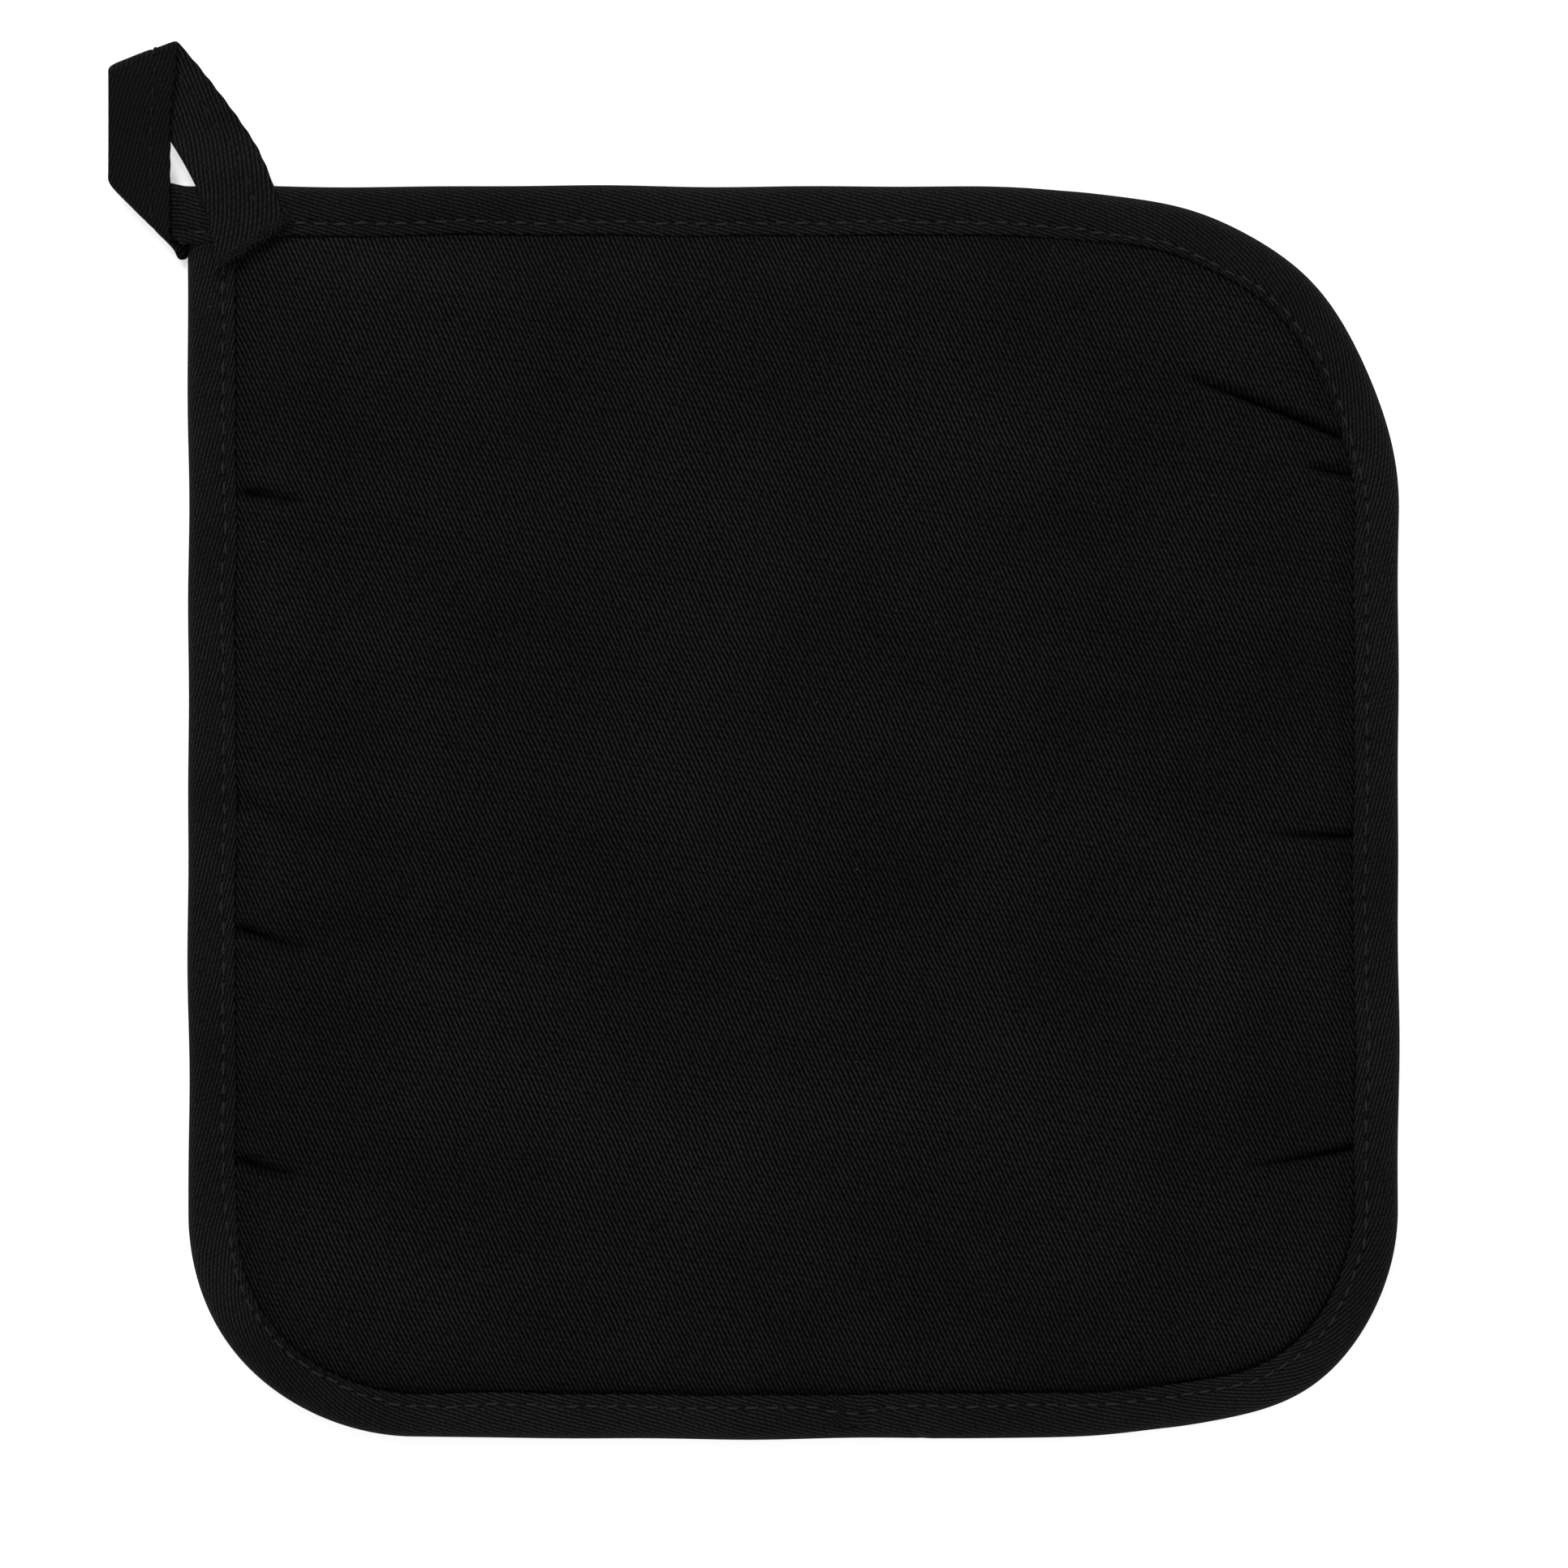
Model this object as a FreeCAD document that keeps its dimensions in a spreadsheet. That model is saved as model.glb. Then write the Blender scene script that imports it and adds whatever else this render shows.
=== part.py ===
"""A square padded pot holder with a bound edge and a hanging loop at its top left corner.

The pad lies on its back cover. Its outline is square at the top left and rounded at the other
three corners. Two twill covers hold the wadding, and one folded tape binds the edge all round.
At the top left the tape runs on past the pad as a tab, folds forward and up, folds back at the
top, and comes down to the pad again, where its end is sewn down with a bar tack.

The pad folds in half about an upright line through its middle, so every layer is made as a left
and a right half. The loop bends about a line that passes just outside the square corner.

Origin: the pad's centre, on the surface that it lies on. +X right, +Y up the pad, +Z forward.
"""
import FreeCAD, Part
import math
import os
import Sketcher

os.makedirs("parts", exist_ok=True)

SIZES = (
    ("pad_width", 200.0, "pad, left edge to right edge"),
    ("pad_height", 207.0, "pad, bottom edge to top edge"),
    ("corner_top_left", 2.0, "radius of the corner under the loop"),
    ("corner_top_right", 54.0, "radius of the top right corner"),
    ("corner_bottom_left", 37.0, "radius of the bottom left corner"),
    ("corner_bottom_right", 38.0, "radius of the bottom right corner"),
    ("least_corner", 0.5, "smallest radius of an inner outline"),
    ("cloth", 0.45, "thickness of a cover's twill"),
    ("wadding_middle", 6.1, "wadding thickness in the middle"),
    ("wadding_edge", 1.6, "wadding thickness where it is sewn flat"),
    ("slope_run", 12.0, "width of the slope from the edge to the middle"),
    ("binding_flap", 8.0, "width of the binding on each face"),
    ("binding_ply", 0.6, "thickness of a folded flap of binding"),
    ("binding_round", 1.0, "rounding of the binding's outer folds"),
    ("flap_clearance", 0.3, "from the flap's inner edge to the slope"),
    ("stitch_inset", 1.9, "topstitching, in from the flap's inner edge"),
    ("thread", 0.45, "width of a row of stitches"),
    ("thread_sink", 0.3, "depth of the groove that a row pulls in"),
    ("thread_proud", 0.15, "how far a row stands proud of the flap"),
    ("fold_place", 0.5, "where the left half ends, right of the centre"),
    ("fold_gap", 0.2, "gap between the halves at the fold line"),
    ("tape_width", 10.0, "width of the loop's folded tape"),
    ("tape_thick", 1.4, "thickness of the loop's tape, four plies"),
    ("tape_low", 1.1, "height of the tab above the resting surface"),
    ("tab_reach", 13.05, "loop's outer edge, out from the pad's left edge"),
    ("tab_rise", 0.6, "tab's upper edge above the pad's top edge"),
    ("tab_fold_drop", 10.7, "height of the tab's slanting fold"),
    ("strip_rise_outer", 19.4, "top fold's outer end above the pad's top edge"),
    ("strip_rise_inner", 23.8, "top fold's inner end above the pad's top edge"),
    ("strip_top_width", 11.15, "width of the strip at its top fold"),
    ("leg_centre_out", 56.0, "centre of the leg's curve, out from the pad"),
    ("leg_centre_drop", 28.6, "the same centre, below the pad's top edge"),
    ("leg_radius", 69.75, "radius of the leg's middle line"),
    ("leg_width", 10.9, "width of the leg, which opens a little"),
    ("leg_ramp_top", 7.8, "where the leg starts to rise, above the pad"),
    ("leg_ramp_foot", 0.7, "where it reaches the pad's height"),
    ("tack_in", 17.3, "bar tack's upper end, in from the left edge"),
    ("tack_drop", 5.2, "bar tack's upper end, below the top edge"),
    ("tack_length", 14.75, "length of the bar tack's cut line"),
    ("tack_slant", 34.0, "slope of the bar tack, in degrees"),
    ("tack_width", 1.6, "width of the bar tack"),
    ("tack_margin", 0.9, "tape left outside the bar tack"),
    ("loop_stitch_inset", 3.0, "loop's stitching, in from its open edge"),
    ("hinge_out", 1.2, "loop's bend line, out from the square corner"),
    ("hinge_gap", 0.3, "gap between the loop and its roots"),
    ("seam_right", 18.25, "piecing seam's middle, right of the centre"),
    ("seam_slant", 127.7, "direction of the piecing seam, in degrees"),
)

# Heights above the resting surface, and distances in from the pad's outline.
BACK_EDGE = "(Sizes.binding_ply)"
BACK_EDGE_TOP = "(Sizes.binding_ply + Sizes.cloth)"
FRONT_EDGE = "(Sizes.binding_ply + Sizes.cloth + Sizes.wadding_edge)"
FRONT_EDGE_TOP = "(Sizes.binding_ply + 2 * Sizes.cloth + Sizes.wadding_edge)"
BINDING_TOP = "(2 * Sizes.binding_ply + 2 * Sizes.cloth + Sizes.wadding_edge)"
WADDING_TOP = "(Sizes.cloth + Sizes.wadding_middle)"
PAD_TOP = "(2 * Sizes.cloth + Sizes.wadding_middle)"
CUT_EDGE = "(Sizes.binding_ply)"
SLOPE_FOOT = "(Sizes.binding_flap + Sizes.flap_clearance)"
SLOPE_HEAD = "(Sizes.binding_flap + Sizes.flap_clearance + Sizes.slope_run)"
STITCH_OUTER = "(Sizes.binding_flap - Sizes.stitch_inset - Sizes.thread / 2)"
STITCH_INNER = "(Sizes.binding_flap - Sizes.stitch_inset + Sizes.thread / 2)"

# The pad's edges, which the loop is placed from.
LEFT = "(-Sizes.pad_width / 2)"
TOP = "(Sizes.pad_height / 2)"
STRIP_LOW = "(Sizes.tape_low + Sizes.tape_thick)"
STRIP_TOP = "(Sizes.tape_low + 2 * Sizes.tape_thick)"
LEG_ON_PAD = "(%s + Sizes.thread_proud)" % BINDING_TOP

SIDES = ("left", "right")
ALL_OF_IT = 60.0  # reach of a cutting block, larger than the loop

doc = FreeCAD.newDocument("pot_holder")
sheet = doc.addObject("Spreadsheet::Sheet", "Sizes")
for row, (alias, value, meaning) in enumerate(SIZES, start=1):
    sheet.set("A%d" % row, meaning)
    sheet.set("B%d" % row, str(value))
    sheet.setAlias("B%d" % row, alias)
doc.recompute()

subparts = []


def number(expression):
    """The value that an expression on the sheet has now."""
    return float(sheet.evalExpression(expression))


def keep(thing, label):
    """Lists a finished object as the sub-part called label."""
    thing.Label = label
    subparts.append(thing)
    return thing


def new_sketch(body, name, height):
    """A sketch parallel to the body's XY plane, at the given height."""
    sketch = body.newObject("Sketcher::SketchObject", name)
    plane = [item for item in body.Origin.OriginFeatures if item.Role == "XY_Plane"][0]
    sketch.AttachmentSupport = [(plane, "")]
    sketch.MapMode = "FlatFace"
    sketch.setExpression("AttachmentOffset.Base.z", height)
    return sketch


def hold(sketch, kind, places, expression):
    """Adds a constraint whose value follows an expression."""
    index = sketch.addConstraint(Sketcher.Constraint(kind, *places, number(expression)))
    sketch.setExpression("Constraints[%d]" % index, expression)


def pin(sketch, line, end, across, up):
    """Holds one end of a line at a place given by two expressions."""
    hold(sketch, "DistanceX", (-1, 1, line, end), across)
    hold(sketch, "DistanceY", (-1, 1, line, end), up)


def half_path(sketch, side, inset):
    """One half's edge, from the top of the fold line round to its foot, inset from the outline.

    Three straight runs and two corner arcs, each tangent to the next. Returns the numbers of
    the first and last runs, whose free ends lie on the fold line."""
    sign = 1 if side == "right" else -1
    fold = "Sizes.fold_place" + (" + Sizes.fold_gap" if side == "right" else "")
    across = "%d * (Sizes.pad_width / 2 - %s)" % (sign, inset)
    top = "Sizes.pad_height / 2 - %s" % inset
    bottom = "-(Sizes.pad_height / 2 - %s)" % inset
    radii = ["max(Sizes.corner_%s_%s - %s; Sizes.least_corner)" % (end, side, inset)
             for end in ("top", "bottom")]
    fold_x, side_x, top_y, bottom_y = [number(e) for e in (fold, across, top, bottom)]
    high, low = [number(radius) for radius in radii]

    def point(x, y):
        return FreeCAD.Vector(x, y, 0)

    def arc(x, y, radius, start):
        circle = Part.Circle(point(x, y), FreeCAD.Vector(0, 0, 1), radius)
        return Part.ArcOfCircle(circle, math.radians(start), math.radians(start + 90))

    shapes = [
        Part.LineSegment(point(fold_x, top_y), point(side_x - sign * high, top_y)),
        arc(side_x - sign * high, top_y - high, high, 0 if sign > 0 else 90),
        Part.LineSegment(point(side_x, top_y - high), point(side_x, bottom_y + low)),
        arc(side_x - sign * low, bottom_y + low, low, 270 if sign > 0 else 180),
        Part.LineSegment(point(side_x - sign * low, bottom_y), point(fold_x, bottom_y)),
    ]
    first = [sketch.addGeometry(shape, False) for shape in shapes][0]
    # Arcs run anticlockwise, so which end meets a run depends on the side.
    arc_in, arc_out = (2, 1) if sign > 0 else (1, 2)
    joins = ((0, 2, 1, arc_in), (1, arc_out, 2, 1), (2, 2, 3, arc_in), (3, arc_out, 4, 1))
    for run, end, following, start in joins:
        sketch.addConstraint(
            Sketcher.Constraint("Tangent", first + run, end, first + following, start))
    for run, kind in ((0, "Horizontal"), (2, "Vertical"), (4, "Horizontal")):
        sketch.addConstraint(Sketcher.Constraint(kind, first + run))
    pin(sketch, first, 1, fold, top)
    pin(sketch, first + 4, 2, fold, bottom)
    hold(sketch, "DistanceX", (-1, 1, first + 2, 1), across)
    hold(sketch, "Radius", (first + 1,), radii[0])
    hold(sketch, "Radius", (first + 3,), radii[1])
    return first, first + 4


def join(sketch, line_a, end_a, line_b, end_b):
    """Closes a gap in an outline with a straight run."""
    ends = [sketch.getPoint(line_a, end_a), sketch.getPoint(line_b, end_b)]
    line = sketch.addGeometry(Part.LineSegment(*ends), False)
    sketch.addConstraint(Sketcher.Constraint("Coincident", line, 1, line_a, end_a))
    sketch.addConstraint(Sketcher.Constraint("Coincident", line, 2, line_b, end_b))


def half_outline(body, name, side, inset, height):
    """The area of one half inside an inset outline."""
    sketch = new_sketch(body, name, height)
    first, last = half_path(sketch, side, inset)
    join(sketch, last, 2, first, 1)
    return sketch


def half_strip(body, name, side, outer, inner, height):
    """The narrow band of one half between two inset outlines."""
    sketch = new_sketch(body, name, height)
    outer_first, outer_last = half_path(sketch, side, outer)
    inner_first, inner_last = half_path(sketch, side, inner)
    join(sketch, outer_first, 1, inner_first, 1)
    join(sketch, outer_last, 2, inner_last, 2)
    return sketch


def polygon(body, name, height, corners):
    """A closed outline through corners that are each given by two expressions."""
    sketch = new_sketch(body, name, height)
    points = [FreeCAD.Vector(number(x), number(y), 0) for x, y in corners]
    count = len(points)
    for index in range(count):
        run = Part.LineSegment(points[index], points[(index + 1) % count])
        sketch.addGeometry(run, False)
    for index in range(count):
        sketch.addConstraint(
            Sketcher.Constraint("Coincident", index, 2, (index + 1) % count, 1))
    for index, (x, y) in enumerate(corners):
        pin(sketch, index, 1, x, y)
    return sketch


def grow(body, name, sketch, length):
    """Adds material upwards from a sketch."""
    pad = body.newObject("PartDesign::Pad", name)
    pad.Profile = sketch
    pad.setExpression("Length", length)
    return pad


def cut(body, name, sketch, length):
    """Removes material upwards from a sketch."""
    pocket = body.newObject("PartDesign::Pocket", name)
    pocket.Profile = sketch
    pocket.Reversed = True
    pocket.setExpression("Length", length)
    return pocket


def slope(body, name, kind, low, high):
    """Adds or removes the sloping solid between two outlines."""
    loft = body.newObject("PartDesign::%sLoft" % kind, name)
    loft.Profile = low
    loft.Sections = [high]
    loft.Ruled = True
    return loft


def new_body(label):
    body = doc.addObject("PartDesign::Body", label)
    return keep(body, label)


def cover(side, face):
    """One half of a cover: a flange sewn into the binding, and a shallow dish of cloth that
    stands clear of the wadding's slope by one cloth thickness."""
    body = new_body("%s_cover_%s" % (face, side))
    outer_foot = SLOPE_FOOT
    outer_head = SLOPE_HEAD
    inner_foot = "(%s + Sizes.cloth)" % SLOPE_FOOT
    inner_head = "(%s + Sizes.cloth)" % SLOPE_HEAD
    if face == "front":
        flange, outer, outer_end, inner, inner_end = (
            FRONT_EDGE, FRONT_EDGE_TOP, PAD_TOP, FRONT_EDGE, WADDING_TOP)
    else:
        flange, outer, outer_end, inner, inner_end = (
            BACK_EDGE, BACK_EDGE, "0", BACK_EDGE_TOP, "Sizes.cloth")
    grow(body, "flange", half_outline(body, "cut_edge", side, CUT_EDGE, flange), "Sizes.cloth")
    slope(body, "dish", "Additive",
          half_outline(body, "dish_foot", side, outer_foot, outer),
          half_outline(body, "dish_head", side, outer_head, outer_end))
    slope(body, "hollow", "Subtractive",
          half_outline(body, "hollow_foot", side, inner_foot, inner),
          half_outline(body, "hollow_head", side, inner_head, inner_end))
    return body


def wadding(side):
    """One half of the wadding: thin at the sewn edge, full in the middle."""
    body = new_body("wadding_%s" % side)
    foot = "(%s + Sizes.cloth)" % SLOPE_FOOT
    head = "(%s + Sizes.cloth)" % SLOPE_HEAD
    edge = half_outline(body, "cut_edge", side, CUT_EDGE, BACK_EDGE_TOP)
    grow(body, "flange", edge, "Sizes.wadding_edge")
    slope(body, "front_swell", "Additive",
          half_outline(body, "front_foot", side, foot, FRONT_EDGE),
          half_outline(body, "front_head", side, head, WADDING_TOP))
    slope(body, "back_swell", "Additive",
          half_outline(body, "back_foot", side, foot, BACK_EDGE_TOP),
          half_outline(body, "back_head", side, head, "Sizes.cloth"))
    return body


def outer_fold_edges(shape):
    """Names of the binding's long outer edges, front and back: those at its lowest or highest
    level that lie further out than the middle of the flap."""
    levels = (0.0, number(BINDING_TOP))
    outline = [number(e) for e in ("Sizes.pad_width / 2", "Sizes.pad_height / 2")]
    flap = number("Sizes.binding_flap / 2")
    names = []
    for index, edge in enumerate(shape.Edges, start=1):
        box = edge.BoundBox
        level = box.ZLength < 1e-6 and min(abs(box.ZMin - z) for z in levels) < 1e-6
        middle = edge.valueAt((edge.FirstParameter + edge.LastParameter) / 2)
        outer_run = abs(middle.x) > outline[0] - flap or abs(middle.y) > outline[1] - flap
        across_fold = box.XLength < 1e-6 and abs(middle.x) < flap
        corner = edge.Curve.TypeId == "Part::GeomCircle" and any(
            abs(edge.Curve.Radius - number("Sizes." + radius)) < 1e-6
            for radius in ("corner_top_left", "corner_top_right",
                           "corner_bottom_left", "corner_bottom_right"))
        if level and not across_fold and (outer_run or corner):
            names.append("Edge%d" % index)
    return names


def binding(side):
    """One half of the binding: a tape folded over the layers' cut edges, with a groove on
    each face where the stitching pulls it in."""
    body = new_body("binding_%s" % side)
    grow(body, "tape", half_outline(body, "outline", side, "0", "0"), BINDING_TOP)
    cut(body, "opening", half_outline(body, "flap_edge", side, "Sizes.binding_flap", "0"),
        BINDING_TOP)
    cut(body, "slot", half_outline(body, "layers", side, CUT_EDGE, BACK_EDGE),
        "%s - %s" % (FRONT_EDGE_TOP, BACK_EDGE))
    cut(body, "front_groove",
        half_strip(body, "front_row", side, STITCH_OUTER, STITCH_INNER,
                   "%s - Sizes.thread_sink" % BINDING_TOP),
        "Sizes.thread_sink")
    cut(body, "back_groove",
        half_strip(body, "back_row", side, STITCH_OUTER, STITCH_INNER, "0"),
        "Sizes.thread_sink")
    doc.recompute()
    base = body.Tip
    folds = body.newObject("PartDesign::Fillet", "outer_folds")
    folds.Base = (base, outer_fold_edges(base.Shape))
    folds.setExpression("Radius", "Sizes.binding_round")
    return body


def topstitch(side, face):
    """The row of stitches that closes the binding, seen on one face, as one thin band."""
    body = new_body("topstitch_%s_%s" % (face, side))
    if face == "front":
        low = "%s - Sizes.thread_sink" % BINDING_TOP
        height = "Sizes.thread_sink + Sizes.thread_proud"
    else:
        low = "0"
        height = "Sizes.thread_sink"
    row = half_strip(body, "row", side, STITCH_OUTER, STITCH_INNER, low)
    grow(body, "band", row, height)
    return body


def plain_body(name):
    """A body that other solids are cut from, and that isn't a sub-part itself."""
    return doc.addObject("PartDesign::Body", name)


def boolean(kind, name, base, tool):
    """Part::Cut or Part::Common of two objects."""
    result = doc.addObject("Part::%s" % kind, name)
    result.Base = base
    result.Tool = tool
    return result


def place(thing, x, y, z, turn="0"):
    """Puts a primitive at a place given by expressions, turned about Z by degrees."""
    thing.Placement = FreeCAD.Placement(FreeCAD.Vector(0, 0, 0), FreeCAD.Rotation(0, 0, 0))
    thing.setExpression("Placement.Base.x", x)
    thing.setExpression("Placement.Base.y", y)
    thing.setExpression("Placement.Base.z", z)
    thing.setExpression("Placement.Rotation.Yaw", turn)


def loop_front_run():
    """The tab that carries on from the top binding, and the strip folded up in front of it."""
    outer = "%s - Sizes.tab_reach" % LEFT
    inner = "%s - Sizes.tab_reach + Sizes.tape_width" % LEFT
    tab_top = "%s + Sizes.tab_rise" % TOP
    fold_foot = "%s + Sizes.tab_rise - Sizes.tab_fold_drop" % TOP
    tab_foot = "%s + Sizes.tab_rise - Sizes.tape_width" % TOP
    body = plain_body("loop_front_run")
    tab = polygon(body, "tab_plan", "Sizes.tape_low",
                  ((outer, tab_top), (inner, fold_foot), (LEFT, tab_foot), (LEFT, tab_top)))
    grow(body, "tab", tab, "Sizes.tape_thick")
    strip = polygon(body, "strip_plan", STRIP_LOW, (
        (outer, tab_top), (inner, fold_foot),
        ("%s + Sizes.strip_top_width" % outer, "%s + Sizes.strip_rise_inner" % TOP),
        (outer, "%s + Sizes.strip_rise_outer" % TOP)))
    grow(body, "strip", strip, "Sizes.tape_thick")
    return body


def leg_slab(name, lift, thick):
    """A slab across the loop that follows the leg's height: level behind the strip, up a ramp
    to the pad's height, level over the binding, then up the pad's own slope."""
    slab = doc.addObject("Part::Feature", name)
    ramp_top = number("%s + Sizes.leg_ramp_top" % TOP)
    ramp_foot = number("%s + Sizes.leg_ramp_foot" % TOP)
    pad_slope = number("(%s - %s) / Sizes.slope_run" % (PAD_TOP, FRONT_EDGE_TOP))
    slope_foot = number("%s - Sizes.binding_flap" % TOP)
    low = number("Sizes.tape_low + %s" % lift)
    high = number("%s + %s" % (LEG_ON_PAD, lift))
    line = [
        (ramp_top + ALL_OF_IT, low), (ramp_top, low), (ramp_foot, high), (slope_foot, high),
        (slope_foot - ALL_OF_IT, high + pad_slope * ALL_OF_IT)]
    start = number("%s - Sizes.tab_reach" % LEFT) - ALL_OF_IT
    corners = [FreeCAD.Vector(start, y, z) for y, z in line]
    corners += [FreeCAD.Vector(start, y, z + number(thick)) for y, z in reversed(line)]
    face = Part.Face(Part.makePolygon(corners + corners[:1]))
    slab.Shape = face.extrude(FreeCAD.Vector(3 * ALL_OF_IT, 0, 0))
    slab.Placement = FreeCAD.Placement()
    return slab


def leg_ring(name, offset, width):
    """A flat ring about the centre of the leg's curve."""
    discs = []
    for suffix, sign in (("outer", "+"), ("inner", "-")):
        disc = doc.addObject("Part::Cylinder", "%s_%s" % (name, suffix))
        disc.setExpression("Radius", "Sizes.leg_radius + %s %s %s / 2" % (offset, sign, width))
        disc.Height = ALL_OF_IT
        place(disc, "%s - Sizes.leg_centre_out" % LEFT, "%s - Sizes.leg_centre_drop" % TOP, "0")
        discs.append(disc)
    return boolean("Cut", name, discs[0], discs[1])


def leg_window():
    """The stretch of the ring that the leg uses, from the top fold to the bar tack."""
    outer = "%s - Sizes.tab_reach" % LEFT
    rise = "(Sizes.strip_rise_inner - Sizes.strip_rise_outer) / Sizes.strip_top_width"
    beyond = "(Sizes.strip_top_width + Sizes.tape_width / 2)"
    tack_x = "%s + Sizes.tack_in" % LEFT
    tack_y = "%s - Sizes.tack_drop" % TOP
    along = "(cos(Sizes.tack_slant * 1 deg))"
    up = "(sin(Sizes.tack_slant * 1 deg))"
    margin_x = "Sizes.tack_margin * %s" % up
    margin_y = "Sizes.tack_margin * %s" % along
    reach = "Sizes.tape_width / 2"
    body = plain_body("leg_window")
    corners = (
        (outer, "%s + Sizes.strip_rise_outer" % TOP),
        ("%s + %s" % (outer, beyond),
         "%s + Sizes.strip_rise_outer + %s * %s" % (TOP, rise, beyond)),
        ("%s + %s * %s + %s" % (tack_x, reach, along, margin_x),
         "%s + %s * %s - %s" % (tack_y, reach, up, margin_y)),
        ("%s - (Sizes.tack_length + %s) * %s + %s" % (tack_x, reach, along, margin_x),
         "%s - (Sizes.tack_length + %s) * %s - %s" % (tack_y, reach, up, margin_y)))
    window = polygon(body, "window", "0", corners)
    grow(body, "block", window, "Sizes.tape_low + 5 * Sizes.tape_thick + %s" % PAD_TOP)
    return body


def beyond_hinge(name, sign):
    """A block that holds everything on one side of the loop's bend line: the free side where
    sign is 1, and the pad's side where it is -1."""
    block = doc.addObject("Part::Box", name)
    block.Length = 2 * ALL_OF_IT
    block.Width = 2 * ALL_OF_IT
    block.Height = ALL_OF_IT
    # The block's own X axis is turned to lie along the bend line, which slopes at 45 degrees.
    out = "(Sizes.hinge_out + %d * Sizes.hinge_gap / 2 %s)" % (
        sign, "- %g" % (2 * ALL_OF_IT) if sign < 0 else "")
    place(block,
          "%s - %s / sqrt(2) - %g / sqrt(2)" % (LEFT, out, ALL_OF_IT),
          "%s + %s / sqrt(2) - %g / sqrt(2)" % (TOP, out, ALL_OF_IT),
          "0", "45")
    return block


def hanging_loop():
    """The loop's tape, cut at its bend line into the free loop and its two sewn roots."""
    front_run = loop_front_run()
    ring = leg_ring("leg_ring", "0", "Sizes.leg_width")
    curve = boolean("Common", "leg_curve", ring, leg_window())
    leg = boolean("Common", "leg", curve, leg_slab("leg_slab", "0", "Sizes.tape_thick"))
    free_side = beyond_hinge("free_side", 1)
    pad_side = beyond_hinge("pad_side", -1)
    whole = doc.addObject("Part::MultiFuse", "whole_loop")
    whole.Shapes = [front_run, leg]
    keep(boolean("Common", "loop_tape", whole, free_side), "loop_tape")
    keep(boolean("Common", "loop_root_tab", front_run, pad_side), "loop_root_tab")
    keep(boolean("Common", "loop_sewn_end", leg, pad_side), "loop_sewn_end")
    loop_stitching(free_side)
    bar_tack()


def loop_stitching(free_side):
    """The rows of stitches that close the tape's open edge, on the strip and on the leg."""
    inner = "%s - Sizes.tab_reach + Sizes.tape_width - Sizes.loop_stitch_inset" % LEFT
    body = plain_body("strip_row")
    row = polygon(body, "strip_row_plan", STRIP_TOP, (
        ("%s - Sizes.thread" % inner, "%s + Sizes.leg_ramp_foot" % TOP),
        (inner, "%s + Sizes.leg_ramp_foot" % TOP),
        (inner, "%s + Sizes.strip_rise_outer" % TOP),
        ("%s - Sizes.thread" % inner, "%s + Sizes.strip_rise_outer" % TOP)))
    grow(body, "strip_row_band", row, "Sizes.thread_proud")
    offset = "Sizes.leg_width / 2 - Sizes.loop_stitch_inset"
    ring = leg_ring("leg_row_ring", offset, "Sizes.thread")
    slab = leg_slab("leg_row_slab", "Sizes.tape_thick", "Sizes.thread_proud")
    # The row starts where the leg comes out from under the strip.
    clear = doc.addObject("Part::Box", "right_of_strip")
    clear.Length = ALL_OF_IT
    clear.Width = ALL_OF_IT
    clear.Height = ALL_OF_IT
    place(clear, "%s - Sizes.tab_reach + Sizes.strip_top_width" % LEFT, TOP, "0")
    on_leg = boolean("Common", "leg_row_run", ring, slab)
    visible = boolean("Common", "leg_row_visible", on_leg, clear)
    on_loop = boolean("Common", "leg_row", visible, free_side)
    rows = doc.addObject("Part::Compound", "loop_stitching")
    rows.Links = [body, on_loop]
    keep(rows, "loop_stitching")


def bar_tack():
    """A close row of stitches slanting across the leg's end, lying on top of it."""
    bar = doc.addObject("Part::Box", "tack_bar")
    bar.setExpression("Length", "Sizes.leg_width + Sizes.tack_margin")
    bar.setExpression("Width", "Sizes.tack_width")
    bar.Height = ALL_OF_IT
    place(bar, "%s + Sizes.tack_in" % LEFT, "%s - Sizes.tack_drop" % TOP, "0",
          "Sizes.tack_slant - 180")
    slab = leg_slab("tack_slab", "Sizes.tape_thick", "2 * Sizes.thread_proud")
    keep(boolean("Common", "bar_tack", bar, slab), "bar_tack")


def piecing_seam():
    """The slanting seam that joins two lengths of tape in the bottom binding."""
    seam = doc.addObject("Part::Box", "piecing_seam")
    seam.setExpression("Length", "Sizes.binding_flap - Sizes.stitch_inset - 2 * Sizes.thread")
    seam.setExpression("Width", "Sizes.thread")
    seam.setExpression("Height", "Sizes.thread_proud")
    place(seam, "Sizes.seam_right", "-Sizes.pad_height / 2 + Sizes.binding_round", BINDING_TOP,
          "Sizes.seam_slant")
    keep(seam, "piecing_seam")


def check(thing):
    """Stops with a message if a sub-part's solid is missing or broken."""
    shape = thing.Shape
    if shape.isNull() or not shape.isValid() or not shape.Solids:
        raise SystemExit("sub-part %s has no valid solid" % thing.Label)
    print("%-24s %d solid(s) %10.1f mm3  x %.1f %.1f  y %.1f %.1f  z %.2f %.2f" % (
        thing.Label, len(shape.Solids), shape.Volume, shape.BoundBox.XMin,
        shape.BoundBox.XMax, shape.BoundBox.YMin, shape.BoundBox.YMax,
        shape.BoundBox.ZMin, shape.BoundBox.ZMax))


for half in SIDES:
    cover(half, "front")
    cover(half, "back")
    wadding(half)
    binding(half)
    topstitch(half, "front")
    topstitch(half, "back")
hanging_loop()
piecing_seam()

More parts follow.
